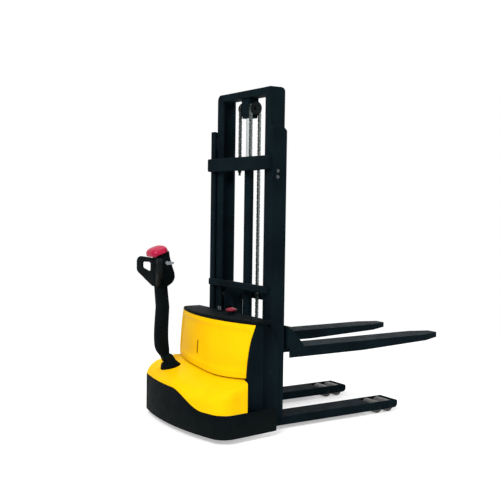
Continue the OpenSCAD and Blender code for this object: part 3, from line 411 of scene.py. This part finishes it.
# Rounded copies of CAD pieces: the width of the rounding in millimetres
softWidths = {
    "outer_channel_left": 2.5, "outer_channel_right": 2.5, "mast_upper_crossbar": 2,
    "mast_middle_crossbar": 2, "mast_foot": 2, "inner_lower_crossbar": 2, "inner_top_crossbar": 2,
    "fork_left": 1.2, "fork_right": 1.2, "leg_left": 3, "leg_right": 3, "side_frame_left": 1.5,
    "side_frame_right": 1.5, "base_frame": 1.5,
    "bumper_skirt": 2, "dash_panel": 1, "chain_anchor_plate": 1.5, "pulley_block": 2, "steering_head": 1.5,
    "throttle": 2, "batteries": 2, "hydraulic_unit": 1.5, "drive_bracket": 2, "castor_fork": 1.5, "key": 0.4,
}
for name, width in softWidths.items():
    softEdged(name, width, reshapes.get(name))
print("rounded copies:", len(softWidths))


def smooth(t):
    # 3 t^2 - 2 t^3 between 0 and 1
    t = np.clip(t, 0, 1)
    return t * t * (3 - 2 * t)


def inTruck(points):
    # points measured from the mast's rear face, moved into the frame
    return np.asarray(points, float) + np.array([mastRear, 0, 0])


# Tiller arm: rounded sections along x(t) = -hinge - (head - hinge) t - bow sin(pi min(1, t / end)^bend),
# with a shallow groove down each side and a round foot about the hinge pin
armSet = {"hingeBack": 0.355, "hingeZ": 0.376, "neckZ": 0.802, "headBack": 0.399, "bow": 0.028, "end": 0.72,
          "bend": 0.55, "width": 0.056, "depth": 0.062, "wider": 0.018, "deeper": 0.022, "taper": 0.006,
          "foot": 0.024, "footTurns": (82, 70, 56, 42, 28, 14), "deepens": 0.02, "widens": 0.08, "blend": 0.1,
          "groove": 0.0035, "grooved": (0.1, 0.93), "fadeOut": 0.05, "overlap": 0.008, "rows": 46,
          "points": 56, "power": 3.2}


def armRows():
    rise = armSet["neckZ"] - armSet["hingeZ"]
    rows = []
    for turn in np.radians(armSet["footTurns"]):
        lean = armSet["foot"] * math.cos(turn) + (armSet["depth"] / 2 - armSet["foot"]) * math.cos(turn) ** 4
        rows.append((armSet["hingeZ"] - armSet["foot"] * math.sin(turn), 0.0, lean, armSet["width"] / 2))
    for z in np.linspace(armSet["hingeZ"], armSet["neckZ"] + armSet["overlap"], armSet["rows"]):
        t = (z - armSet["hingeZ"]) / rise
        depth = armSet["depth"] + armSet["deeper"] * smooth((t - armSet["deepens"]) / armSet["blend"])
        width = armSet["width"] + armSet["wider"] * smooth((t - armSet["widens"]) / armSet["blend"])
        rows.append((z, t, depth / 2 - armSet["taper"] * t, width / 2))
    first, last = armSet["grooved"]
    verts = []
    for z, t, lean, wide in rows:
        bowed = armSet["bow"] * math.sin(math.pi * min(1, max(0, t) / armSet["end"]) ** armSet["bend"])
        middle = -armSet["hingeBack"] - (armSet["headBack"] - armSet["hingeBack"]) * t - bowed
        ring = superRing(armSet["points"], lean, wide, armSet["power"])
        sunk = armSet["groove"] * np.clip(min(t - first, last - t) / armSet["fadeOut"], 0, 1)
        across = np.exp(-(ring[:, 0] / (0.5 * lean)) ** 6) * (np.abs(ring[:, 1]) > 0.6 * wide)
        ring[:, 1] -= np.sign(ring[:, 1]) * sunk * across
        verts.append(np.column_stack([middle + ring[:, 0], tillerY + ring[:, 1], np.full(len(ring), z)]))
    return inTruck(np.concatenate(verts)), len(rows)


verts, count = armRows()
putPiece("tillerArmLoft", verts, tubeFaces(count, armSet["points"]), "black_plastic", "tiller",
         ("tiller_arm",), sharp=50)


# Tiller head: rings |x/a|^n + |y/b|^n = 1 with their own depth ahead and behind, up to a slanted top.
# Each row: height, half width, depth ahead, depth behind, share of the slant, size
headSet = {"power": 3.0, "slant": 20, "points": 64, "levels": 48, "rows": (
    (0.796, 0.033, 0.032, 0.033, 0, 1), (0.806, 0.037, 0.037, 0.035, 0, 1), (0.815, 0.042, 0.05, 0.038, 0, 1),
    (0.825, 0.046, 0.066, 0.041, 0, 1), (0.84, 0.049, 0.078, 0.044, 0, 1), (0.86, 0.05, 0.0855, 0.045, 0, 1),
    (0.885, 0.05, 0.083, 0.045, 0, 1), (0.91, 0.05, 0.074, 0.045, 0, 1), (0.935, 0.05, 0.063, 0.045, 0.1, 1),
    (0.96, 0.05, 0.053, 0.045, 0.4, 1), (0.98, 0.05, 0.046, 0.045, 0.8, 1), (0.998, 0.05, 0.043, 0.045, 1, 1),
    (1.003, 0.05, 0.043, 0.045, 1, 0.985), (1.005, 0.05, 0.043, 0.045, 1, 0.95))}


def headRows():
    knots = np.array(headSet["rows"])
    levels = np.concatenate([np.linspace(knots[0, 0], knots[-3, 0], headSet["levels"]), knots[-2:, 0]])
    verts = []
    for z in levels:
        wide, ahead, behind, slant, size = (np.interp(z, knots[:, 0], knots[:, k]) for k in range(1, 6))
        ring = superRing(headSet["points"], 1, wide * size, headSet["power"])
        ring[:, 0] *= np.where(ring[:, 0] > 0, ahead, behind) * size
        verts.append(np.column_stack([ring[:, 0] - armSet["headBack"], ring[:, 1] + tillerY,
                                      z + slant * ring[:, 0] * math.tan(math.radians(headSet["slant"]))]))
    return inTruck(np.concatenate(verts)), len(levels)


verts, count = headRows()
putPiece("tillerHeadLoft", verts, tubeFaces(count, headSet["points"]), "black_plastic", "tiller",
         ("tiller_head",), sharp=50)


def supportReach(discs, middle, turns):
    # distance from middle to the edge of the hull of discs along each turn, through its half planes
    normals = np.radians(np.arange(0, 360, 0.5))
    out = np.column_stack([np.cos(normals), np.sin(normals)])
    support = np.max([out @ np.array(d[:2]) + d[2] for d in discs], axis=0) - out @ np.array(middle)
    along = np.column_stack([np.cos(turns), np.sin(turns)]) @ out.T
    return np.min(np.where(along > 1e-3, support / np.maximum(along, 1e-3), 9), axis=1)


# Handle loops: a rounded bar swept round the finger opening, between the hulls of the outer and the inner
# discs. Each disc: distance out from the head's middle, height over z, radius
loopSet = {"set": 0.022, "sweep": 22, "z": 0.941, "thick": 0.031, "power": 2.4, "turns": 120, "points": 24,
           "middle": (0.086, -0.012),
           "outer": ((0.133, 0.01, 0.032), (0.132, -0.032, 0.033),
                     (0.034, -0.12, 0.016), (0.04, 0.014, 0.022)),
           "inner": ((0.106, -0.005, 0.014), (0.106, -0.016, 0.014),
                     (0.066, -0.005, 0.014), (0.066, -0.03, 0.014))}


def loopRows(side):
    middle = loopSet["middle"]
    turns = np.linspace(0, 2 * np.pi, loopSet["turns"], endpoint=False)
    low, high = (supportReach(loopSet[discs], middle, turns)[:, None] for discs in ("inner", "outer"))
    section = superRing(loopSet["points"], 1, 1, loopSet["power"])
    away = (low + high) / 2 + (high - low) / 2 * section[None, :, 0]
    u = middle[0] + away * np.cos(turns)[:, None]
    w = loopSet["z"] + middle[1] + away * np.sin(turns)[:, None]
    n = np.broadcast_to(loopSet["thick"] / 2 * section[None, :, 1], u.shape)
    sweep = math.radians(loopSet["sweep"])
    x = -armSet["headBack"] - loopSet["set"] - u * math.sin(sweep) + n * math.cos(sweep)
    y = tillerY + side * (u * math.cos(sweep) + n * math.sin(sweep))
    return inTruck(np.stack([x, y, w], -1).reshape(-1, 3))


loopPoints = loopSet["turns"] * loopSet["points"]
rowFaces = gridFaces(loopSet["turns"] + 1, loopSet["points"], True) % loopPoints
putPiece("handleLoopsSwept", [loopRows(1), loopRows(-1)], np.concatenate([rowFaces, rowFaces + loopPoints]),
         "black_plastic", "tiller", ("handle_loops",), looks["grip"], 60)

# Belly button: superellipses on the slanted face, from a stem out to the rim and then up a dome whose height
# goes with sin(a)^heightBend and whose size goes with cos(a)^sizeBend. Each step of the rim: size, height
domeSet = {"back": 0.421, "z": 0.997, "tilt": 20, "depth": 0.114, "width": 0.134, "height": 0.05,
           "rise": 0.007, "socket": 0.014, "stem": (0.028, 0.033), "spring": 0.008, "crown": 0.02,
           "rim": ((0.93, 0), (0.965, 0.0006), (0.985, 0.0022), (0.995, 0.005)), "sizeBend": 0.62,
           "heightBend": 0.9, "rows": 22, "points": 72, "power": 3.2}


def domeRows():
    d, w, rise = domeSet["depth"] / 2, domeSet["width"] / 2, domeSet["rise"]
    spring = rise + domeSet["spring"]
    rows = [(*domeSet["stem"], rise - domeSet["socket"]), (*domeSet["stem"], rise)]
    rows += [(d * k, w * k, rise + h) for k, h in domeSet["rim"]]
    for a in np.radians(np.linspace(0, 90, domeSet["rows"])):
        k = domeSet["crown"] + (1 - domeSet["crown"]) * math.cos(a) ** domeSet["sizeBend"]
        share = math.sin(a) ** domeSet["heightBend"]
        rows.append((d * k, w * k, spring + (domeSet["height"] - spring) * share))
    tilt = math.radians(domeSet["tilt"])
    verts = []
    for halfX, halfY, h in rows:
        ring = superRing(domeSet["points"], halfX, halfY, domeSet["power"])
        x = ring[:, 0] * math.cos(tilt) - h * math.sin(tilt)
        z = ring[:, 0] * math.sin(tilt) + h * math.cos(tilt)
        verts.append(np.column_stack([x - domeSet["back"], tillerY + ring[:, 1], z + domeSet["z"]]))
    return inTruck(np.concatenate(verts)), len(rows)


verts, count = domeRows()
putPiece("bellyDome", verts, tubeFaces(count, domeSet["points"]), "red_button", "belly_button",
         ("belly_button",), sharp=50)
print("tiller pieces made")


# Outlines of the covers: where their sides start, and the points along each part
planSet = {"front": 0.1, "side": 12, "corner": 17, "rear": 74, "trimmed": 220}


def planRing(back, bow, corner, half, spread):
    # outline seen from above, right front to left front: sides, corner arcs and a bowed rear that touch
    c, reach = bow - back, bow - corner
    b = spread + math.asin((half * math.cos(spread) - corner - math.sin(spread) * c) / reach)
    cx, cy = c - reach * math.cos(b), reach * math.sin(b)
    bend = np.linspace(spread - math.pi / 2, b - math.pi, planSet["corner"])
    cornerArc = np.column_stack([cx + corner * np.cos(bend), -cy + corner * np.sin(bend)])
    rear = np.linspace(math.pi + b, math.pi - b, planSet["rear"])[1:-1]
    rearArc = np.column_stack([c + bow * np.cos(rear), bow * np.sin(rear)])
    side = np.linspace(0, 1, planSet["side"])[:-1, None]
    start = np.array([planSet["front"], planSet["front"] * math.tan(spread) - half])
    right = np.concatenate([start + side * (cornerArc[0] - start), cornerArc])
    return np.concatenate([right, rearArc, right[::-1] * [1, -1]])


def trimmedRing(ring, front, leftFront):
    # the part of an outline behind front, as evenly spaced points; the left side has its own front
    behind = np.where(ring[:, 0] < np.where(ring[:, 1] < 0, front, leftFront))[0]
    first, last = behind[0], behind[-1]
    ends = []
    for inside, outside, edge in ((first, first - 1, front), (last, last + 1, leftFront)):
        share = (edge - ring[inside, 0]) / (ring[outside, 0] - ring[inside, 0])
        ends.append(ring[inside] + (ring[outside] - ring[inside]) * share)
    line = np.concatenate([[ends[0]], ring[first:last + 1], [ends[1]]])
    run = np.concatenate([[0], np.cumsum(np.linalg.norm(np.diff(line, axis=0), axis=1))])
    even = np.linspace(0, run[-1], planSet["trimmed"])
    return np.column_stack([np.interp(even, run, line[:, axis]) for axis in (0, 1)])


def carved(piece, cutters, thick):
    # closed cutter meshes taken out of a solid, or out of a surface made a shell of some thickness, and then
    # its edges rounded
    if thick:
        shell = piece.modifiers.new("shell", "SOLIDIFY")
        shell.thickness = thick
        shell.offset = -1
        shell.use_even_offset = True
    helpers = []
    for verts, faces in cutters:
        mesh = bpy.data.meshes.new("cutter")
        mesh.from_pydata(np.asarray(verts).tolist(), [], [list(map(int, f)) for f in faces])
        helper = bpy.data.objects.new("cutter", mesh)
        collection.objects.link(helper)
        cut = piece.modifiers.new("cut", "BOOLEAN")
        cut.object = helper
        cut.solver = "EXACT"
        cut.use_self = True
        helpers.append(helper)
    bpy.context.view_layer.update()
    finished = bpy.data.meshes.new_from_object(piece.evaluated_get(bpy.context.evaluated_depsgraph_get()))
    piece.modifiers.clear()
    piece.data = finished
    for helper in helpers:
        mesh = helper.data
        bpy.data.objects.remove(helper)
        bpy.data.meshes.remove(mesh)
    finished.shade_smooth()
    finished.set_sharp_from_angle(angle=math.radians(40))
    roundEdges(piece, 1.0, 50)


def prism(ring, low, high, axis):
    # closed prism over a ring; axis names the direction it runs along
    count = len(ring)
    ends = [np.insert(np.asarray(ring, float), axis, level, axis=1) for level in (low, high)]
    step = np.arange(count)
    sides = np.column_stack([step, (step + 1) % count, (step + 1) % count + count, step + count])
    return np.concatenate(ends), [*sides, step[::-1], step + count]


def joined(meshes):
    # the points and faces of several meshes as one mesh
    points, allFaces, start = [], [], 0
    for verts, faces in meshes:
        points.append(verts)
        allFaces.extend([np.asarray(face) + start for face in faces])
        start += len(verts)
    return np.concatenate(points), allFaces


# Covers: the lower one rises from the skirt's stepped edge over a rounded shoulder to a shelf that falls to
# the rear, z = shelf + fall (x + foot) + lean tanh((y + 0.05) / 0.12). The upper one bows in plan, leans
# forward by t^leanBend with the height, ends along a cut that goes with t^cutBend, and has a dished rear
coverSet = {"shelf": 0.3215, "fall": 0.25, "lean": 0.0125, "foot": 0.256, "topBack": 0.232, "coverTop": 0.655,
            "bow": 1.1, "corner": 0.045, "half": 0.428, "wallRows": 9, "low": 0.32, "lid": 0.637,
            "wall": 0.004, "leanFrom": 0.322, "leanBend": 1.6, "cutLow": 0.1838, "cutHigh": 0.1404,
            "cutZ": 0.312, "cutBend": 2.57, "leftFront": -0.16, "seam": 0.011, "lip": 0.02,
            "tuck": (0.004, -0.006), "dish": 0.008, "dishHalf": 0.405, "dishLow": 0.35, "dishHigh": 0.615,
            "dishSide": 0.035, "dishEnd": 0.03, "latchX": (-0.4, -0.2), "latchY": 0.07,
            "latchZ": (0.414, 0.495), "latchHalf": 0.0085, "latchPoints": 48, "latchPower": 5,
            "shoulderRows": 19, "shelfRows": 12, "upperRows": 60}
skirtSet = {"back": 0.463, "bow": 1.6, "corner": 0.095, "half": 0.434, "spread": math.radians(6.5),
            "low": 0.163, "high": 0.25, "from": -0.32, "to": -0.02, "inset": 0.003, "front": -0.218,
            "leftFront": -0.2, "drawIn": 0.012, "shoulder": 0.058, "rearIn": 0.075, "sideIn": 0.02,
            "leastCorner": 0.03, "gap": 0.5 * mm, "steerX": -0.328, "opening": 0.0625,
            "openingZ": (0.25, 0.37), "openingPoints": 64}


def shelfAt(ring):
    x, y = ring[:, 0], ring[:, 1]
    lean = coverSet["lean"] * np.tanh((y + 0.05) / 0.12)
    return coverSet["shelf"] + coverSet["fall"] * (x + coverSet["foot"]) + lean


def skirtEdge(y):
    share = smooth((y - skirtSet["from"]) / (skirtSet["to"] - skirtSet["from"]))
    return skirtSet["low"] + (skirtSet["high"] - skirtSet["low"]) * share


def upperRing(z, front, leftFront, inward=0.0):
    t = max(0.0, (z - coverSet["leanFrom"]) / (coverSet["coverTop"] - coverSet["leanFrom"]))
    back = coverSet["foot"] - (coverSet["foot"] - coverSet["topBack"]) * t ** coverSet["leanBend"]
    ring = planRing(back - inward, coverSet["bow"] - inward, coverSet["corner"],
                    coverSet["half"] - inward, 0.0)
    return trimmedRing(ring, front, leftFront)


def lowerRing(part):
    # part runs from 0 at the upright wall to 1 at the end of the shoulder
    rear = skirtSet["inset"] + skirtSet["rearIn"] * part
    side = skirtSet["inset"] + skirtSet["sideIn"] * part
    corner = max(skirtSet["corner"] - rear, skirtSet["leastCorner"])
    ring = planRing(skirtSet["back"] - rear, skirtSet["bow"] - rear, corner,
                    skirtSet["half"] - side / math.cos(skirtSet["spread"]), skirtSet["spread"])
    return trimmedRing(ring, skirtSet["front"] + skirtSet["drawIn"] * part, skirtSet["leftFront"])


def lowerRows():
    base, end = lowerRing(0), lowerRing(1)
    bottom = skirtEdge(base[:, 1]) + skirtSet["gap"]
    height = np.minimum(skirtSet["shoulder"], shelfAt(base) - bottom)
    rows = []
    for share in np.linspace(0, 1, coverSet["wallRows"], endpoint=False):
        rows.append(np.column_stack([base, bottom + (shelfAt(base) - height - bottom) * share]))
    for a in np.radians(np.linspace(0, 90, coverSet["shoulderRows"])):
        ring = lowerRing(1 - math.cos(a))
        rows.append(np.column_stack([ring, shelfAt(ring) - height * (1 - math.sin(a))]))
    right, left = coverSet["tuck"]
    inner = upperRing(coverSet["low"], right - coverSet["cutLow"], left + coverSet["leftFront"],
                      coverSet["lip"])
    for share in np.linspace(0, 1, coverSet["shelfRows"])[1:]:
        ring = end + (inner - end) * share
        rows.append(np.column_stack([ring, shelfAt(ring)]))
    return inTruck(np.concatenate(rows)), len(rows), len(base)


verts, rowCount, columns = lowerRows()
cover = putPiece("lowerCoverShell", verts, gridFaces(rowCount, columns), "yellow_cover", "chassis",
                 ("lower_cover",), sharp=40)
hole = superRing(skirtSet["openingPoints"], skirtSet["opening"], skirtSet["opening"], 2)
hole += [mastRear + skirtSet["steerX"], tillerY]
carved(cover, [prism(hole, *skirtSet["openingZ"], 2)], coverSet["wall"])

# End wall at the cover's left front: from the last points of the shoulder and shelf straight down to the
# skirt's edge
grid = verts.reshape(rowCount, columns, 3)
top = grid[coverSet["wallRows"]:, -1]
foot = np.column_stack([top[:, :2], np.full(len(top), grid[0, -1, 2])])
wall = putPiece("lowerCoverEnd", np.stack([top, foot], 1), gridFaces(len(top), 2), "yellow_cover", "chassis",
                sharp=40)
carved(wall, [], coverSet["wall"])

# Skirt of the steering cap in the cover's opening: rings of radius r at height z, closed on themselves
capSet = {"points": 64, "rings": (
    (0.0455, 0.338), (0.05, 0.337), (0.055, 0.332), (0.0585, 0.324), (0.0595, 0.312), (0.0595, 0.285),
    (0.0455, 0.285))}
circle = superRing(capSet["points"], 1, 1, 2)
verts = [np.insert(circle * r + [skirtSet["steerX"], tillerY], 2, z, axis=1) for r, z in capSet["rings"]]
verts = inTruck(np.concatenate(verts))
faces = gridFaces(len(capSet["rings"]) + 1, capSet["points"], True) % len(verts)
putPiece("steeringCapSkirt", verts, faces, "black_plastic", "steering", sharp=50)


def upperRows():
    low, lid, cutZ = coverSet["low"], coverSet["lid"], coverSet["cutZ"]
    rows = []
    foot = shelfAt(upperRing(low, -coverSet["cutLow"], coverSet["leftFront"])) + coverSet["seam"]
    for share in np.linspace(0, 1, coverSet["upperRows"]):
        z = low + (lid - low) * share
        t = max(0.0, (z - cutZ) / (coverSet["coverTop"] - cutZ)) ** coverSet["cutBend"]
        front = -coverSet["cutLow"] + (coverSet["cutLow"] - coverSet["cutHigh"]) * t
        ring = upperRing(z, front, coverSet["leftFront"])
        dished = smooth((coverSet["dishHalf"] - np.abs(ring[:, 1])) / coverSet["dishSide"])
        dished *= smooth((z - coverSet["dishLow"]) / coverSet["dishEnd"])
        dished *= smooth((coverSet["dishHigh"] - z) / coverSet["dishEnd"])
        ring[:, 0] += coverSet["dish"] * dished
        rows.append(np.column_stack([ring, foot + (lid - foot) * share]))
    return inTruck(np.concatenate(rows)), len(rows), len(ring)


verts, rowCount, columns = upperRows()
cover = putPiece("upperCoverShell", verts, gridFaces(rowCount, columns), "yellow_cover", "chassis",
                 ("upper_cover",), sharp=40)
low, high = coverSet["latchZ"]
slot = superRing(coverSet["latchPoints"], coverSet["latchHalf"], (high - low) / 2, coverSet["latchPower"])
slot += [coverSet["latchY"], (low + high) / 2]
rear, front = (mastRear + x for x in coverSet["latchX"])
carved(cover, [prism(slot, rear, front, 0)], coverSet["wall"])
print("covers shaped")

# Hexagon heads on the outer channels that hold the upper crossbar: two on each side, with a washer face and a
# chamfer; a hexagon's reach is r / cos(turn) over each sixth of a turn
boltSet = {"x": 0.033, "z": (1.464, 1.498), "flats": 0.017, "high": 0.0075, "washer": 0.0018,
           "chamfer": 0.0012, "washerSize": 1.12, "headSize": 0.99, "topSize": 0.9, "points": 36}


def boltHead(x, y, z, side):
    turn = np.arange(boltSet["points"]) * 2 * np.pi / boltSet["points"]
    radius = boltSet["flats"] / 2 / np.cos(np.pi / 6)
    hexagon = np.cos(np.pi / 6) / np.cos((turn + np.pi / 6) % (np.pi / 3) - np.pi / 6)
    washer, shoulder = boltSet["washer"], boltSet["high"] - boltSet["chamfer"]
    steps = ((0, boltSet["washerSize"], 1), (washer, boltSet["washerSize"], 1),
             (washer, boltSet["headSize"], hexagon), (shoulder, boltSet["headSize"], hexagon),
             (boltSet["high"], boltSet["topSize"], hexagon))
    rows = []
    for out, size, outline in steps:
        r = radius * size * outline
        level = np.full(len(turn), y + side * out)
        rows.append(np.column_stack([x + r * np.cos(turn), level, z + r * np.sin(turn)]))
    return np.concatenate(rows)


heads = [inTruck(boltHead(boltSet["x"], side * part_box("outer_channel_left")[1].y, z, side))
         for side in (1, -1) for z in boltSet["z"]]
boltFaces = tubeFaces(len(heads[0]) // boltSet["points"], boltSet["points"])
verts, faces = joined([(head, boltFaces) for head in heads])
putPiece("crossbarBolts", verts, faces, "dark_steel", "chassis", sharp=25)

# Inner channels: the outer corner at the top is rounded off, by an arc of some radius seen from the rear
cornerSet = {"edge": 0.297, "left": 0.036, "right": 0.01, "beyond": 0.02, "through": 0.05, "points": 12}
bend = np.linspace(np.pi / 2, 0, cornerSet["points"])
for side, hand in ((1, "left"), (-1, "right")):
    name, radius = "inner_channel_" + hand, cornerSet[hand]
    low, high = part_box(name)
    edge, out = cornerSet["edge"], cornerSet["edge"] + cornerSet["beyond"]
    arc = np.column_stack([edge + radius * (np.cos(bend) - 1), high.z + radius * (np.sin(bend) - 1)])
    over = high.z + cornerSet["beyond"]
    ring = np.concatenate([arc, [(out, arc[-1, 1]), (out, over), (arc[0, 0], over)]])
    ring = ring if side > 0 else ring[::-1] * [-1, 1]
    cutter = prism(ring, low.x - cornerSet["through"], high.x + cornerSet["through"], 0)
    carved(softEdged(name, 2), [cutter], 0)

# Carriage: its front plate is wide only where the forks hang on it
carriageSet = {"inside": 0.258, "outside": 0.37, "low": 0.602, "high": 0.83, "plate": 0.0151, "beyond": 0.02}
inside, outside = carriageSet["inside"], carriageSet["outside"]
low, high = carriageSet["low"], carriageSet["high"]
corner = np.array([(inside, low), (outside, low), (outside, high), (inside, high)])
cutters = [prism(ring, heelX - carriageSet["plate"], heelX + carriageSet["beyond"], 0)
           for ring in (corner, corner[::-1] * [-1, 1])]
carved(softEdged("carriage_frame", 2), cutters, 0)


# Leaf chains: waisted link plates laced on pins, x and z from the path of pins, y across the lacing
chainSet = {"gap": 0.116, "pitch": 0.01905, "half": 0.0076, "waist": 0.76, "plates": 8, "plate": 0.0019,
            "lacing": 0.00225, "pin": 0.0033, "pinHalf": 0.0098, "pinPoints": 12, "rearX": 0.034,
            "frontX": 0.096, "pulleyX": 0.065, "pulleyZ": 1.88, "radius": 0.031, "wrapPins": 6,
            "anchorZ": 1.5976, "carriageZ": 0.5976}


def linkOutline(length):
    # figure of eight: a round end at each pin and a side drawn in by the waist between them
    half, waist = chainSet["half"], chainSet["waist"]
    ends = np.radians(np.linspace(-78, 78, 9))
    side = np.linspace(0.3, 0.7, 3)
    drawn = half * (1 - (1 - waist) * np.sin(np.pi * side) ** 1.5)
    far = np.column_stack([length + half * np.cos(ends), half * np.sin(ends)])
    near = np.column_stack([-half * np.cos(ends), -half * np.sin(ends)])
    back, forth = np.column_stack([length * side[::-1], drawn]), np.column_stack([length * side, -drawn])
    return np.concatenate([far, back, near, forth])


def chainRun(path, y):
    # plates and pins of one run; path is the row of pins in x and z
    thin, plates = chainSet["plate"] / 2, chainSet["plates"]
    pieces = []
    for i in range(len(path) - 1):
        length = np.linalg.norm(path[i + 1] - path[i])
        along = (path[i + 1] - path[i]) / length
        across = np.array([-along[1], along[0]])
        link = linkOutline(length)
        outline = path[i] + link[:, :1] * along + link[:, 1:] * across
        for column in range(i % 2, plates, 2):
            middle = y + (column - (plates - 1) / 2) * chainSet["lacing"]
            pieces.append(prism(outline, middle - thin, middle + thin, 1))
    pin = superRing(chainSet["pinPoints"], chainSet["pin"], chainSet["pin"], 2)
    for place in path:
        pieces.append(prism(place + pin, y - chainSet["pinHalf"], y + chainSet["pinHalf"], 1))
    return joined(pieces)


def bothChains(name, path, node, body):
    verts, faces = joined([chainRun(path, y) for y in (chainSet["gap"] / 2, -chainSet["gap"] / 2)])
    return putPiece(name, inTruck(verts), faces, "bright_steel", body, (node,), looks["chain"], 30)


def straightPins(x, z0, z1):
    steps = round(abs(z1 - z0) / chainSet["pitch"])
    return np.column_stack([np.full(steps + 1, x), np.linspace(z0, z1, steps + 1)])


top = chainSet["pulleyZ"]
turn = np.linspace(np.pi, 0, chainSet["wrapPins"])
wrapPins = np.column_stack([np.cos(turn), np.sin(turn)]) * chainSet["radius"] + [chainSet["pulleyX"], top]
bothChains("chainWrapLinks", wrapPins, "chain_wraps", "inner_mast")
pins = straightPins(chainSet["rearX"], chainSet["anchorZ"], top)
run = bothChains("anchorChainLinks", pins, "anchor_chain_runs", None)
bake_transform(run)
pins = straightPins(chainSet["frontX"], top, chainSet["carriageZ"])
run = bothChains("carriageChainLinks", pins, "carriage_chain_runs", None)
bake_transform(run)
print("chains laced")


# Camera at the photographed angle: place in the mast's frame, angles in degrees
cameraSet = {"place": (-2.715, -4.304, 1.306), "yaw": 57.009, "pitch": -3.084, "roll": 0.808, "lens": 60.88}
yaw, pitch = math.radians(cameraSet["yaw"]), math.radians(cameraSet["pitch"])
ahead = Vector((math.cos(yaw) * math.cos(pitch), math.sin(yaw) * math.cos(pitch), math.sin(pitch)))
cameraData = bpy.data.cameras.new("camera")
cameraData.lens = cameraSet["lens"]
cameraData.sensor_width = 36
camera = bpy.data.objects.new("camera", cameraData)
camera.rotation_euler = (ahead.to_track_quat("-Z", "Y").to_matrix()
                         @ Matrix.Rotation(math.radians(cameraSet["roll"]), 3, "Z")).to_euler()
camera.location = Vector(cameraSet["place"]) + Vector((mastRear, 0, 0))
collection.objects.link(camera)
bpy.context.scene.camera = camera

# Soft studio: a broad key behind on the right, a weak fill on the right, light from above, and a weak lamp
# ahead on the left
lamps = {
    "key": {"place": (-4.1, -2.8, 3.8), "size": 2.2, "power": 225},
    "fill": {"place": (2.4, -4.6, 2.2), "size": 3.0, "power": 40},
    "top": {"place": (0.2, 0.3, 5.0), "size": 4.0, "power": 110},
    "back": {"place": (3.6, 3.2, 2.8), "size": 2.5, "power": 40},
}
aim = Vector((-0.1, 0, 0.8))
for lampName, lamp in lamps.items():
    data = bpy.data.lights.new(lampName, "AREA")
    data.shape = "DISK"
    data.size = lamp["size"]
    data.energy = lamp["power"]
    light = bpy.data.objects.new(lampName, data)
    light.location = lamp["place"]
    light.rotation_euler = (aim - light.location).to_track_quat("-Z", "Y").to_euler()
    collection.objects.link(light)

worldSet = {"ambient": 0.42, "background": 1.0}


def seenRays(tree):
    # 1 for rays that the camera sees directly, in a mirror or through glass
    path = addNode(tree, "ShaderNodeLightPath")
    first = addNode(tree, "ShaderNodeMath", {"operation": "MAXIMUM"},
                    {0: path.outputs["Is Camera Ray"], 1: path.outputs["Is Glossy Ray"]})
    return addNode(tree, "ShaderNodeMath", {"operation": "MAXIMUM"},
                   {0: first.outputs["Value"], 1: path.outputs["Is Transmission Ray"]}).outputs["Value"]


def whiteLevel(tree, seen):
    # the background's strength where it is seen, and the ambient strength for the light it gives
    limits = {"To Min": worldSet["ambient"], "To Max": worldSet["background"]}
    return addNode(tree, "ShaderNodeMapRange", limits, {"Value": seen}).outputs["Result"]


world = bpy.data.worlds.new("studio")
world.use_nodes = True
bpy.context.scene.world = world
skyTree = world.node_tree
sky = skyTree.nodes["Background"]
sky.inputs["Color"].default_value = (1, 1, 1, 1)
skyTree.links.new(whiteLevel(skyTree, seenRays(skyTree)), sky.inputs["Strength"])

# White floor: its own light lifts it to the backdrop's white, which it becomes some way from the object
floorSet = {"half": 30.0, "drop": 0.5 * mm, "lift": 0.42, "near": 1.6, "far": 4.5}
corners = np.array([(-1, -1), (1, -1), (1, 1), (-1, 1)]) * floorSet["half"]
floorMesh = bpy.data.meshes.new("floor")
floorMesh.from_pydata([(x, y, -floorSet["drop"]) for x, y in corners], [], [(0, 1, 2, 3)])
floor = bpy.data.objects.new("floor", floorMesh)
collection.objects.link(floor)
floorMaterial, floorTree, floorShader, floorPlace = newMaterial("paleFloor", {
    "Base Color": (0.86, 0.86, 0.86, 1), "Roughness": 0.9, "Specular IOR Level": 0.0,
    "Emission Color": (1, 1, 1, 1)})
seen = seenRays(floorTree)
lift = addNode(floorTree, "ShaderNodeMath", {"operation": "MULTIPLY", 1: floorSet["lift"]}, {0: seen})
feed(floorTree, floorShader, {"Emission Strength": lift.outputs["Value"]})
away = addNode(floorTree, "ShaderNodeVectorMath", {"operation": "LENGTH"}, {0: floorPlace}).outputs["Value"]
fade = addNode(floorTree, "ShaderNodeMapRange", {"From Min": floorSet["near"], "From Max": floorSet["far"]},
               {"Value": away})
glow = addNode(floorTree, "ShaderNodeEmission", links={"Strength": whiteLevel(floorTree, seen)})
blend = addNode(floorTree, "ShaderNodeMixShader", links={
    0: fade.outputs["Result"], 1: floorShader.outputs["BSDF"], 2: glow.outputs["Emission"]})
floorTree.links.new(blend.outputs["Shader"], floorTree.nodes["Material Output"].inputs["Surface"])
floorMesh.materials.append(floorMaterial)
bpy.context.scene.view_settings.view_transform = "Standard"
print("camera, light and floor placed")
